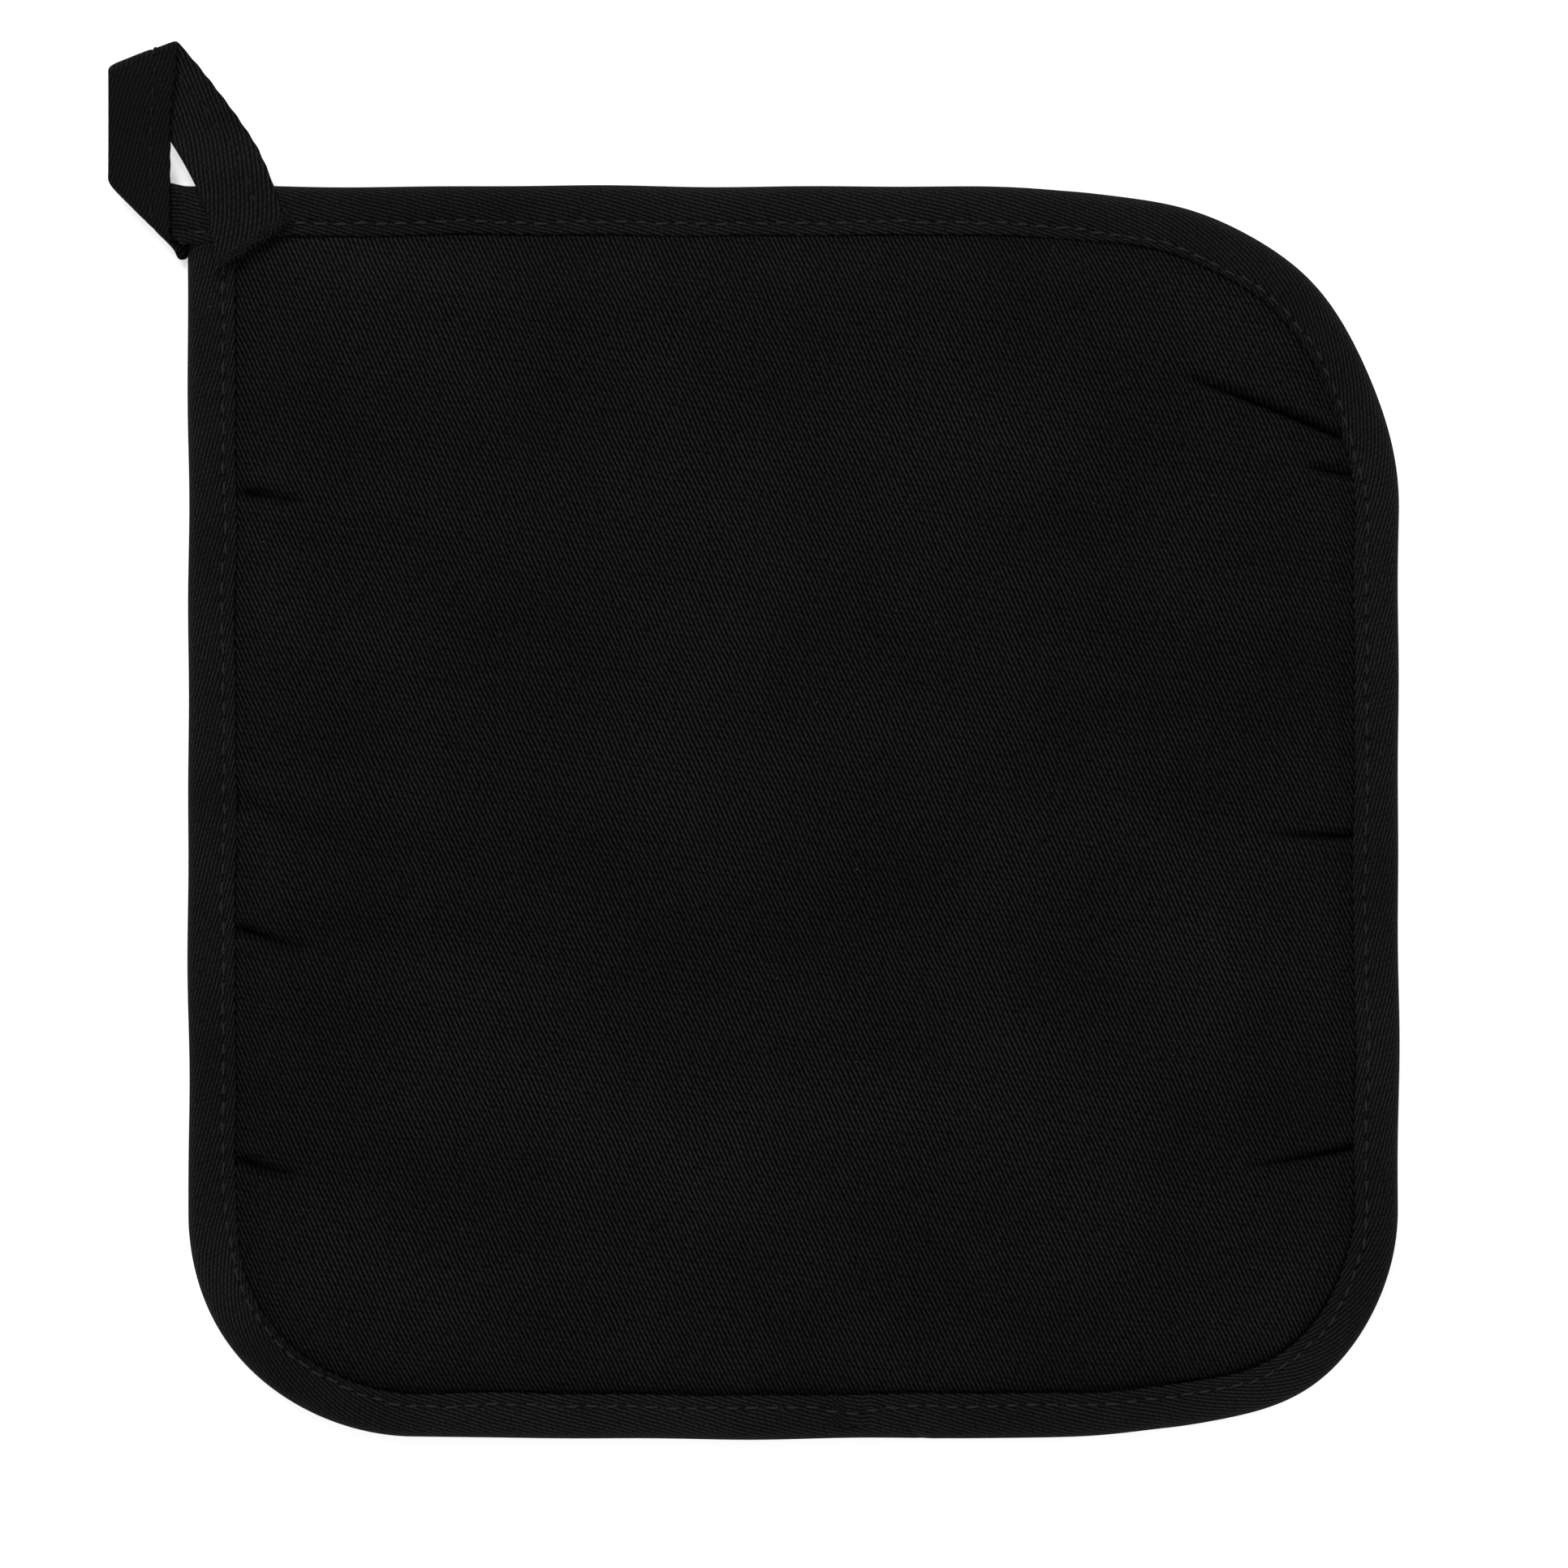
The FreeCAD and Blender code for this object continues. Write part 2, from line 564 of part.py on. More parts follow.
doc.recompute()
for item in doc.Objects:
    if "Invalid" in item.State or "Error" in item.State:
        raise SystemExit("%s (%s) failed: %s" % (item.Label, item.Name, item.State))
for item in subparts:
    check(item)
for item in subparts:
    item.Shape.exportStep("parts/%s.step" % item.Label)
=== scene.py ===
"""Looks of a square padded pot holder in black twill, with a bound edge and a hanging loop.

Sizes are in millimetres and heights are above the surface that the pad lies on. A piece's points
are turned to metres when its mesh is made.
"""
import math

import bmesh
import bpy
import numpy as np
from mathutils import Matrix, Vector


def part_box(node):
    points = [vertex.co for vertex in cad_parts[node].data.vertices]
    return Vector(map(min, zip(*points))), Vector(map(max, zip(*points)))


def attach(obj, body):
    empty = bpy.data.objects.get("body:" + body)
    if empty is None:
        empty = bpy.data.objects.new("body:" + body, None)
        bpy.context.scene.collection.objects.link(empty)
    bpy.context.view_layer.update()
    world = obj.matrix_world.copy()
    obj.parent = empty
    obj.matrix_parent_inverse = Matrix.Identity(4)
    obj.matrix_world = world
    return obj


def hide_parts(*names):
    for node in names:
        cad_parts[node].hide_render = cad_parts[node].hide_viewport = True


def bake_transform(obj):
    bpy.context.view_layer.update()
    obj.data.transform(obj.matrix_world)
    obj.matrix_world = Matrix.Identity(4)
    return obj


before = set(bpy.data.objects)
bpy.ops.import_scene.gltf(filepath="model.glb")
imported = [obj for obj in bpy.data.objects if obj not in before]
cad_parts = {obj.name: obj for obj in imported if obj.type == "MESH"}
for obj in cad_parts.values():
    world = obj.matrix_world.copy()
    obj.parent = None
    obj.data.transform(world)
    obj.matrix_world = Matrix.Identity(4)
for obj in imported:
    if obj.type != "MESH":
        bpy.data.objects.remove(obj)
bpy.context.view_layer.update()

MM = 0.001

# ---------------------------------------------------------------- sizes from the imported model
PAD_LOW = np.minimum(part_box("binding_left")[0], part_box("binding_right")[0]) / MM
PAD_HIGH = np.maximum(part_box("binding_left")[1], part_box("binding_right")[1]) / MM
LEFT, BOTTOM = PAD_LOW[:2]
RIGHT, TOP = PAD_HIGH[:2]
EDGE_THICK = PAD_HIGH[2]
PAD_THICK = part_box("front_cover_left")[1][2] / MM

# ---------------------------------------------------------------- the pad's own sizes
CORNER_TOP_RIGHT = 54.0
CORNER_BOTTOM_LEFT = 37.0
CORNER_BOTTOM_RIGHT = 38.0
CORNER_TOP_LEFT = 2.0
CUT_EDGE = 0.75      # the layers' cut edges, inside the binding's fold
CLOTH = 0.45
COVER_EDGE = 2.75    # the front cover's height where it goes under the flap
BACK_EDGE = 0.62     # the back cover's height there
CREASE_FLOOR = 2.3   # no crease goes lower than this, where the wadding is thinnest
FLAP = 7.9           # width of the binding on each face
SWELL_FROM = 7.7     # depth in where the cover begins to rise, just under the flap's edge
SWELL_RUN = 17.0     # how much further in the wadding reaches its full height
SWELL_CURVE = 3.0
FLAPS = (8.1, 7.85, 7.35, 7.3)  # its width in front: top, left, right and bottom
STITCH_IN = 1.9      # topstitching, in from the flap's inner edge
STITCH_PITCH = 3.3
STITCH_LONG = 1.75
STATION = STITCH_PITCH / 6      # spacing of the binding's cross-sections
LOOP_STATIONS = 300
STITCH_DIP = 0.16    # how far the binding sinks at a needle hole, and the loop's tape
LOOP_DIP = 0.09
THREAD = 0.42

# ---------------------------------------------------------------- the loop's sizes
TAPE_WIDE = 10.1
TAPE_HALF_THICK = 0.7
MAP_MIDDLE = 20.0    # the tape's outer fold on its cloth map
TAPE_MID = 1.85      # height of the tab's middle
LOOP_STITCH_IN = 3.0
BACK_PEEK = 1.0      # how far the back flap shows below the tab
TAB_TOP = TOP + 0.6
STRIP_LEFT = LEFT - 13.05
STRIP_HIGH_LEFT = TOP + 19.4
STRIP_HIGH_RIGHT = TOP + 23.8
LEG_TURN = 0.31      # the leg's even turn in its own plane, in radians over LEG_LONG
LEG_HOOK = 0.20      # its further turn towards the sewn end
LEG_LONG = 31.0
TACK_END = np.array([LEFT + 17.3, TOP - 5.2])
TACK_SLANT = math.radians(34.0)
TACK_LONG = 14.4
TACK_STITCHES = 34
TACK_LEAN = 0.28     # the zigzag's slant to each side, in radians
TACK_DIMPLE = np.array([LEFT + 11.2, TOP - 9.4])  # where the bar tack pulls the corner down
DIMPLE_REACH = 14.0
DIMPLE_SHARE = 0.75


# ---------------------------------------------------------------- small tools
def rng(seed):
    return np.random.default_rng(seed)


def smooth(value, low, high):
    """0 below low, 1 above high, and a smooth rise between; low may be above high."""
    t = np.clip((np.asarray(value, float) - low) / (high - low), 0.0, 1.0)
    return t * t * (3.0 - 2.0 * t)


def wander(along, seed, waves, size):
    """A smooth random wave along a line: each wavelength in mm adds its share."""
    random = rng(seed)
    total = np.zeros_like(np.asarray(along, float))
    for wavelength in waves:
        total += np.sin(2 * np.pi * (np.asarray(along) / wavelength + random.random()))
    return size * total / len(waves)


def resampled(points, rounds):
    """An open line of profile points with Catmull-Rom points put between them."""
    line = np.asarray(points, float)
    for _ in range(rounds):
        ends = np.vstack([2 * line[:1] - line[1:2], line, 2 * line[-1:] - line[-2:-1]])
        middle = (9 * (ends[1:-2] + ends[2:-1]) - ends[:-3] - ends[3:]) / 16
        finer = np.empty((2 * len(line) - 1, line.shape[1]))
        finer[0::2] = line
        finer[1::2] = middle
        line = finer
    return line


def make_object(name, points, faces, uv=None):
    """A mesh object from points in mm, with an optional map of flat cloth places in metres."""
    mesh = bpy.data.meshes.new(name)
    mesh.from_pydata((np.asarray(points) * MM).tolist(), [], [list(face) for face in faces])
    mesh.update()
    if uv is not None:
        layer = mesh.uv_layers.new(name="cloth")
        corner_vertex = np.empty(len(mesh.loops), int)
        mesh.loops.foreach_get("vertex_index", corner_vertex)
        layer.data.foreach_set("uv", np.asarray(uv, np.float32)[corner_vertex].ravel())
    mesh.polygons.foreach_set("use_smooth", [True] * len(mesh.polygons))
    piece = bpy.data.objects.new(name, mesh)
    bpy.context.scene.collection.objects.link(piece)
    return piece


def apply_modifiers(piece):
    """Turns the evaluated result into the piece's own plain mesh."""
    bpy.context.view_layer.update()
    done = bpy.data.meshes.new_from_object(
        piece.evaluated_get(bpy.context.evaluated_depsgraph_get()))
    piece.modifiers.clear()
    piece.data = done
    return piece


def tube_faces(rings, around, closed=True):
    """Quads between rings of points, each ring with the same number of points."""
    count = around if closed else around - 1
    ring, step = np.meshgrid(np.arange(rings - 1), np.arange(count), indexing="ij")
    following = (step + 1) % around
    a = ring * around + step
    b = ring * around + following
    return np.stack([a, b, b + around, a + around], -1).reshape(-1, 4)


# ---------------------------------------------------------------- the pad's outline
def inside_depth(x, y):
    """Distance in from the pad's outline, with its three round corners and one square one."""
    middle = ((LEFT + RIGHT) / 2, (BOTTOM + TOP) / 2)
    half = ((RIGHT - LEFT) / 2, (TOP - BOTTOM) / 2)
    right, upper = x > middle[0], y > middle[1]
    radius = np.where(upper, np.where(right, CORNER_TOP_RIGHT, CORNER_TOP_LEFT),
                      np.where(right, CORNER_BOTTOM_RIGHT, CORNER_BOTTOM_LEFT))
    over_x = np.abs(x - middle[0]) - (half[0] - radius)
    over_y = np.abs(y - middle[1]) - (half[1] - radius)
    corner = np.hypot(np.maximum(over_x, 0), np.maximum(over_y, 0))
    return radius - corner - np.minimum(np.maximum(over_x, over_y), 0)


def edge_stations(spacing):
    """Places round the edge, anticlockwise from the square corner back to it: the distance
    along, the points and the directions inwards."""
    runs = []

    def straight(start, end):
        start, end = np.array(start, float), np.array(end, float)
        count = max(2, round(np.linalg.norm(end - start) / spacing))
        t = np.arange(count)[:, None] / count
        heading = (end - start) / np.linalg.norm(end - start)
        inward = np.array([-heading[1], heading[0]])
        runs.append((start + t * (end - start), np.repeat(inward[None], count, 0)))

    def corner(centre, radius, first_angle):
        count = max(2, round(radius * math.pi / 2 / spacing))
        angle = math.radians(first_angle) + np.arange(count) / count * math.pi / 2
        out = np.stack([np.cos(angle), np.sin(angle)], 1)
        runs.append((np.array(centre) + radius * out, -out))

    straight((LEFT, TOP - 0.6), (LEFT, BOTTOM + CORNER_BOTTOM_LEFT))
    corner((LEFT + CORNER_BOTTOM_LEFT, BOTTOM + CORNER_BOTTOM_LEFT), CORNER_BOTTOM_LEFT, 180)
    straight((LEFT + CORNER_BOTTOM_LEFT, BOTTOM), (RIGHT - CORNER_BOTTOM_RIGHT, BOTTOM))
    corner((RIGHT - CORNER_BOTTOM_RIGHT, BOTTOM + CORNER_BOTTOM_RIGHT), CORNER_BOTTOM_RIGHT, 270)
    straight((RIGHT, BOTTOM + CORNER_BOTTOM_RIGHT), (RIGHT, TOP - CORNER_TOP_RIGHT))
    corner((RIGHT - CORNER_TOP_RIGHT, TOP - CORNER_TOP_RIGHT), CORNER_TOP_RIGHT, 0)
    straight((RIGHT - CORNER_TOP_RIGHT, TOP), (LEFT, TOP))
    points = np.vstack([run[0] for run in runs] + [np.array([[LEFT, TOP]])])
    inward = np.vstack([run[1] for run in runs] + [runs[-1][1][-1:]])
    along = np.concatenate([[0], np.cumsum(np.linalg.norm(np.diff(points, axis=0), axis=1))])
    return along, points, inward


# Sewing has drawn the round corners off their true arcs: centre, pull and reach of each.
PULLS = (
    ((68.0, -102.0), (-0.3, 2.1), 16.0),
    ((54.0, 103.0), (0.0, -1.2), 13.0),
    ((84.0, 87.5), (0.8, 0.9), 14.0),
    ((-70.0, -102.0), (0.0, 0.5), 14.0),
)


def drawn(points):
    """The pad's points, moved where the sewing has drawn the edge in or out."""
    moved = np.array(points, float)
    for centre, pull, reach in PULLS:
        away = (moved[:, 0] - centre[0]) ** 2 + (moved[:, 1] - centre[1]) ** 2
        moved[:, :2] += np.exp(-away / reach ** 2)[:, None] * np.array(pull)
    return moved


# ---------------------------------------------------------------- materials
def linear(hex_colour):
    """An sRGB hex colour as linear RGBA."""
    parts = [int(hex_colour[i:i + 2], 16) / 255 for i in (1, 3, 5)]
    return [c / 12.92 if c <= 0.04045 else ((c + 0.055) / 1.055) ** 2.4 for c in parts] + [1.0]


def node(tree, kind, links=(), **settings):
    """Adds a node: settings name its properties or, with in_ and a number, its inputs."""
    made = tree.nodes.new(kind)
    for name, value in settings.items():
        if name.startswith("in_"):
            made.inputs[int(name[3:])].default_value = value
        else:
            setattr(made, name, value)
    for source, target in links:
        tree.links.new(source, made.inputs[target])
    return made


def new_material(name):
    material = bpy.data.materials.new(name)
    material.use_nodes = True
    tree = material.node_tree
    tree.nodes.clear()
    return material, tree


def maths(tree, operation, *values):
    """A Math node's result; each value is a socket or a plain number."""
    made = node(tree, "ShaderNodeMath", operation=operation)
    for index, value in enumerate(values):
        if isinstance(value, (int, float)):
            made.inputs[index].default_value = value
        else:
            tree.links.new(value, made.inputs[index])
    return made.outputs[0]


def surface(tree, colour, height, strength, deep, **values):
    """Ends a material: a bump deep mm high, a Principled shader with its values, the output."""
    bump = node(tree, "ShaderNodeBump", [(height, "Height")], in_0=strength)
    bump.inputs["Distance"].default_value = deep * MM
    shader = node(tree, "ShaderNodeBsdfPrincipled",
                  [(colour, "Base Color"), (bump.outputs[0], "Normal")])
    for name, value in values.items():
        shader.inputs[name.replace("_", " ")].default_value = value
    node(tree, "ShaderNodeOutputMaterial", [(shader.outputs[0], 0)])


# Pattern scales: cells or waves to the metre of cloth.
DRIFT_SCALE = 1 / 0.014      # the ribs wander over 14 mm
PATCH_SCALE = 1 / 0.035      # the tone is uneven over 35 mm
FUZZ_SCALE = 1 / 0.00032     # loose fibre ends
LINT_SCALE = 1 / 0.0065
LINT_SIZE = 0.022            # a speck's radius, in its cell
FLOAT_LONG = 1.7             # a float's length, in rib pitches
FLOAT_STEP = 0.37            # its shift from one rib to the next
PLY_LONG = 0.55              # one turn of the sewing thread's two plies, in mm


def twill(name, wale_turn, pitch, dark, light, lint):
    """Cotton twill, black by piece dyeing: close slanting ribs of thread, dull, with a slight
    bloom.

    Each rib is a row of thread floats, so it is broken into short dabs. wale_turn is the ribs'
    direction in degrees from the cloth map's V axis, anticlockwise, and pitch is in mm. The eye
    gets fine pale dabs on near black: painted highlight on the floats' tops and painted shade in
    the grooves, set by the ribs' height. Besides, a little unevenness in the dye, painted shade
    where the cover's creases are pressed closed, and specks of lint."""
    material, tree = new_material(name)
    pitch *= MM
    place = node(tree, "ShaderNodeUVMap", uv_map="cloth").outputs[0]
    drift = node(tree, "ShaderNodeTexNoise", [(place, 0)], noise_dimensions="2D",
                 in_2=DRIFT_SCALE, in_3=2.0).outputs[1]
    drift = node(tree, "ShaderNodeVectorMath", [(drift, 0)], operation="SUBTRACT",
                 in_1=(0.5, 0.5, 0.5)).outputs[0]
    drift = node(tree, "ShaderNodeVectorMath", [(drift, 0)], operation="SCALE",
                 in_3=0.9 * pitch).outputs[0]
    turned = node(tree, "ShaderNodeMapping", [(place, 0)],
                  in_2=(0, 0, math.radians(-wale_turn))).outputs[0]
    thread_place = node(tree, "ShaderNodeVectorMath", [(turned, 0), (drift, 1)],
                        operation="ADD").outputs[0]
    split = node(tree, "ShaderNodeSeparateXYZ", [(thread_place, 0)])
    across, along = split.outputs[0], split.outputs[1]
    rib_phase = maths(tree, "MULTIPLY", across, 2 * math.pi / pitch)
    rib = maths(tree, "MULTIPLY_ADD", maths(tree, "SINE", rib_phase), 0.5, 0.5)
    # The floats step along by a part of their length from one rib to the next.
    float_phase = maths(tree, "ADD",
                        maths(tree, "MULTIPLY", along, 2 * math.pi / (pitch * FLOAT_LONG)),
                        maths(tree, "MULTIPLY", rib_phase, FLOAT_STEP))
    floats = maths(tree, "MULTIPLY_ADD", maths(tree, "SINE", float_phase), 0.2, 0.8)
    # Threads vary in thickness: a noise drawn out along the ribs.
    drawn = node(tree, "ShaderNodeMapping", [(turned, 0)], in_3=(1.0, 0.3, 1.0)).outputs[0]
    slub = node(tree, "ShaderNodeTexNoise", [(drawn, 0)], noise_dimensions="2D",
                in_2=1.9 / pitch, in_3=2.0, in_4=0.75).outputs[0]
    slub = maths(tree, "MULTIPLY_ADD", slub, 2.3, -0.15)
    fuzz = node(tree, "ShaderNodeTexNoise", [(place, 0)], noise_dimensions="2D",
                in_2=FUZZ_SCALE, in_3=2.0, in_4=0.7).outputs[0]
    height = maths(tree, "MULTIPLY", maths(tree, "MULTIPLY", rib, floats), slub)
    height = maths(tree, "ADD", height, maths(tree, "MULTIPLY_ADD", fuzz, 0.9, -0.45))
    # Painted highlight and shade: the floats' tops take the paler colour and the grooves the
    # darker one.
    tone = node(tree, "ShaderNodeValToRGB", [(height, 0)])
    tone.color_ramp.elements[0].position = 0.12
    tone.color_ramp.elements[0].color = linear(dark)
    tone.color_ramp.elements[1].position = 0.95
    tone.color_ramp.elements[1].color = linear(light)
    patchy_dye_and_painted_shade = node(tree, "ShaderNodeTexNoise", [(place, 0)], noise_dimensions="2D",
                 in_2=PATCH_SCALE, in_3=3.0, in_4=0.55).outputs[0]
    patchy_dye_and_painted_shade = maths(tree, "MULTIPLY_ADD", patchy_dye_and_painted_shade, 0.9, 0.55)
    # Painted shade: the colour is darkened in creases pressed closed and in a strip under the
    # bottom flap.
    painted_shade_share = node(tree, "ShaderNodeAttribute", attribute_name="pinched").outputs[2]
    patchy_dye_and_painted_shade = maths(tree, "MULTIPLY", patchy_dye_and_painted_shade, maths(tree, "MULTIPLY_ADD", painted_shade_share, -0.85, 1.0))
    # The dye's uneven tone times the ribs' painted highlight and shade and the creases' painted
    # shade.
    dye_and_painted_shade = node(tree, "ShaderNodeVectorMath", [(tone.outputs[0], 0), (patchy_dye_and_painted_shade, 3)],
                operation="SCALE").outputs[0]
    cells = node(tree, "ShaderNodeTexVoronoi", [(place, 0)], voronoi_dimensions="2D",
                 feature="F1", in_2=LINT_SCALE)
    chosen = node(tree, "ShaderNodeSeparateColor", [(cells.outputs[1], 0)]).outputs[0]
    chosen = maths(tree, "GREATER_THAN", chosen, 1.0 - lint)
    speck = maths(tree, "MULTIPLY", chosen, maths(tree, "LESS_THAN", cells.outputs[0], LINT_SIZE))
    coloured = node(tree, "ShaderNodeMix", [(speck, 0), (dye_and_painted_shade, 6)], data_type="RGBA")
    coloured.inputs[7].default_value = linear("#2c2d30")
    surface(tree, coloured.outputs[2], height, 0.8, 0.2, Roughness=0.68,
            Specular_IOR_Level=0.03, Sheen_Weight=0.006, Sheen_Roughness=0.5)
    return material


def thread_material(name, colour, glint):
    """Spun polyester sewing thread, two plies twisted: a touch paler and glossier than the
    cloth, so that each stitch shows as a small dab."""
    material, tree = new_material(name)
    place = node(tree, "ShaderNodeAttribute", attribute_name="twist").outputs[1]
    split = node(tree, "ShaderNodeSeparateXYZ", [(place, 0)])
    phase = maths(tree, "ADD", maths(tree, "MULTIPLY", split.outputs[0], 2 * math.pi / PLY_LONG),
                  maths(tree, "MULTIPLY", split.outputs[1], 4 * math.pi))
    ply = maths(tree, "MULTIPLY_ADD", maths(tree, "SINE", phase), 0.5, 0.5)
    tone = node(tree, "ShaderNodeValToRGB", [(ply, 0)])
    tone.color_ramp.elements[0].color = linear(colour)
    tone.color_ramp.elements[1].color = linear(glint)
    surface(tree, tone.outputs[0], ply, 0.6, 0.05, Roughness=0.45, Specular_IOR_Level=0.04)
    return material


def wadding_material():
    """Needled cotton wadding: off-white, matted fibres with no shine."""
    material, tree = new_material("needled_cotton_wadding")
    place = node(tree, "ShaderNodeUVMap", uv_map="cloth").outputs[0]
    fibres = node(tree, "ShaderNodeTexNoise", [(place, 0)], noise_dimensions="2D",
                  in_2=900.0, in_3=5.0, in_4=0.7).outputs[0]
    tone = node(tree, "ShaderNodeValToRGB", [(fibres, 0)])
    tone.color_ramp.elements[0].color = linear("#b9b2a2")
    tone.color_ramp.elements[1].color = linear("#efeade")
    surface(tree, tone.outputs[0], fibres, 0.8, 0.3, Roughness=0.95, Sheen_Weight=0.3)
    return material


def floor_material():
    """Matt white card under bright even light."""
    material, tree = new_material("white_card")
    shader = node(tree, "ShaderNodeBsdfPrincipled")
    shader.inputs["Base Color"].default_value = linear("#f4f4f4")
    shader.inputs["Roughness"].default_value = 0.9
    shader.inputs["Emission Color"].default_value = (1, 1, 1, 1)
    shader.inputs["Emission Strength"].default_value = 0.5
    node(tree, "ShaderNodeOutputMaterial", [(shader.outputs[0], 0)])
    return material


# ---------------------------------------------------------------- covers and wadding
def swell(depth, edge, middle):
    """Height of a cover at a depth inside the outline: flat under the flap, then a soft rise."""
    t = np.clip((depth - SWELL_FROM) / SWELL_RUN, 0, 1)
    return edge + (middle - edge) * (1 - (1 - t) ** SWELL_CURVE)


# Wrinkles pressed into the cover: ends, depth, width, and share of depth at the first end.
CREASES = (
    ((63.5, 72.0), (90.4, 61.9), 2.6, 0.58, 0.55),
    ((84.0, 57.0), (92.0, 55.7), 1.9, 0.68, 0.5),
    ((76.0, -3.6), (92.0, -3.8), 1.8, 0.66, 0.3),
    ((73.0, -58.6), (93.5, -55.0), 2.0, 0.66, 0.3),
    ((-80.0, 50.8), (-89.5, 52.6), 1.8, 0.85, 0.4),
    ((-74.0, -5.5), (-92.0, 2.1), 1.1, 1.5, 0.3),
    ((-79.5, -22.8), (-90.5, -19.4), 1.9, 0.75, 0.4),
    ((-81.0, -60.0), (-90.3, -57.6), 1.9, 0.9, 0.45),
)


def along_crease(x, y, crease):
    """Share of the way along a crease, and the signed distance to its side."""
    start, end = np.array(crease[0]), np.array(crease[1])
    run = end - start
    length = np.linalg.norm(run)
    share = ((x - start[0]) * run[0] + (y - start[1]) * run[1]) / length ** 2
    side = ((x - start[0]) * -run[1] + (y - start[1]) * run[0]) / length
    return share, side


def gather_to_creases(x, y):
    """Draws the mesh's points together beside a crease, so that it has points enough."""
    reach, tightest = 3.6, 0.18
    for crease in CREASES:
        share, side = along_crease(x, y, crease)
        near = smooth(share, -0.25, 0.05) * smooth(share, 1.4, 1.1)
        far = np.clip(np.abs(side) / reach, 0, 1)
        shift = side * (tightest + (1 - tightest) * far) - side
        run = np.array(crease[1]) - np.array(crease[0])
        normal = np.array([-run[1], run[0]]) / np.linalg.norm(run)
        x = x + near * shift * normal[0]
        y = y + near * shift * normal[1]
    return x, y


def crease_height(x, y):
    """How far the creases push the cloth down, and up along their lips."""
    total = np.zeros_like(x)
    for crease in CREASES:
        share, side = along_crease(x, y, crease)
        depth, width, first = crease[2:]
        taper = smooth(share, -0.1, 0.2) * (first + (1 - first) * np.clip(share, 0, 1))
        ends = smooth(share, 1.35, 1.0)
        valley = np.exp(-(side / width) ** 2)
        lip = np.exp(-((np.abs(side) - 2.6 * width) / (1.5 * width)) ** 2)
        total += taper * ends * depth * (0.35 * lip - valley)
    return total


def pinched(x, y):
    """How far painted shade darkens the cloth's colour, in the creases and under the bottom flap,
    0 to 1.
    """
    total = np.zeros_like(x)
    for crease in CREASES:
        share, side = along_crease(x, y, crease)
        depth, width, first = crease[2:]
        taper = smooth(share, -0.05, 0.3) * (first + (1 - first) * np.clip(share, 0, 1))
        valley = np.exp(-(side / (0.95 * width)) ** 2) * smooth(share, 1.35, 1.0)
        total = np.maximum(total, taper * valley * smooth(depth, 0.9, 1.8))
    # The bottom flap stands off the cloth and keeps the light from a narrow strip of it; that
    # shade is painted into the colour.
    under_flap = np.exp(-((inside_depth(x, y) - FLAP + 0.1) / 0.6) ** 2)
    return np.maximum(total, 0.8 * under_flap * smooth(-y, 60, 88))


def crease_hollow(x, y):
    """A wide hollow under each crease, so that the wadding stays clear of the cloth there."""
    total = np.zeros_like(x)
    for crease in CREASES:
        share, side = along_crease(x, y, crease)
        beside = np.exp(-(side / (crease[3] + 2.5)) ** 2)
        total = np.maximum(total, crease[2] * beside * smooth(share, -0.4, 0.0)
                           * smooth(share, 1.6, 1.2))
    return total


def cover_grid(spacing, inset, gathered=False):
    """A grid of cloth cut to the outline: points, quads, and each point's flat place."""
    x = np.arange(LEFT, RIGHT + spacing, spacing)
    y = np.arange(BOTTOM, TOP + spacing, spacing)
    across, up = np.meshgrid(x, y, indexing="ij")
    column, row = np.meshgrid(np.arange(len(x) - 1), np.arange(len(y) - 1), indexing="ij")
    centre_x, centre_y = x[column] + spacing / 2, y[row] + spacing / 2
    inside = inside_depth(centre_x, centre_y) > inset
    first = (column * len(y) + row)[inside]
    quads = np.stack([first, first + len(y), first + len(y) + 1, first + 1], -1)
    used, renumbered = np.unique(quads, return_inverse=True)
    quads = renumbered.reshape(-1, 4)
    px, py = across.ravel()[used], up.ravel()[used]
    edge_use = np.bincount(quads.ravel(), minlength=len(used)) < 4
    for _ in range(3):  # the outermost points slide on to the cut edge
        depth = inside_depth(px, py)
        step = 0.01
        slope_x = (inside_depth(px + step, py) - depth) / step
        slope_y = (inside_depth(px, py + step) - depth) / step
        px = np.where(edge_use, px + slope_x * (inset - depth), px)
        py = np.where(edge_use, py + slope_y * (inset - depth), py)
    if gathered:
        moved_x, moved_y = gather_to_creases(px, py)
        px = np.where(edge_use, px, moved_x)
        py = np.where(edge_use, py, moved_y)
    return px, py, quads


SIM_SPACING = 3.0
SIM_SCALE = 10.0     # the cloth is solved ten times life size, where the solver is steady
SIM_FRAMES = 30
SIM_MARGIN = 4.0     # the solver's own gap round the cloth and the wadding, at that size
BED_DROP = 2 * SIM_MARGIN + 3.0
SPARE_UP = 0.03      # spare cloth up the pad, taken in where the binding was sewn
SPARE_ACROSS = 0.003
START_WAVES = 9
START_WAVE_HIGH = 2.4
LIFT_LEAST, LIFT_MOST = -0.5, 0.9
LIFT_GAIN = 1.6      # the front's wrinkles stand out this much more than the solver leaves them


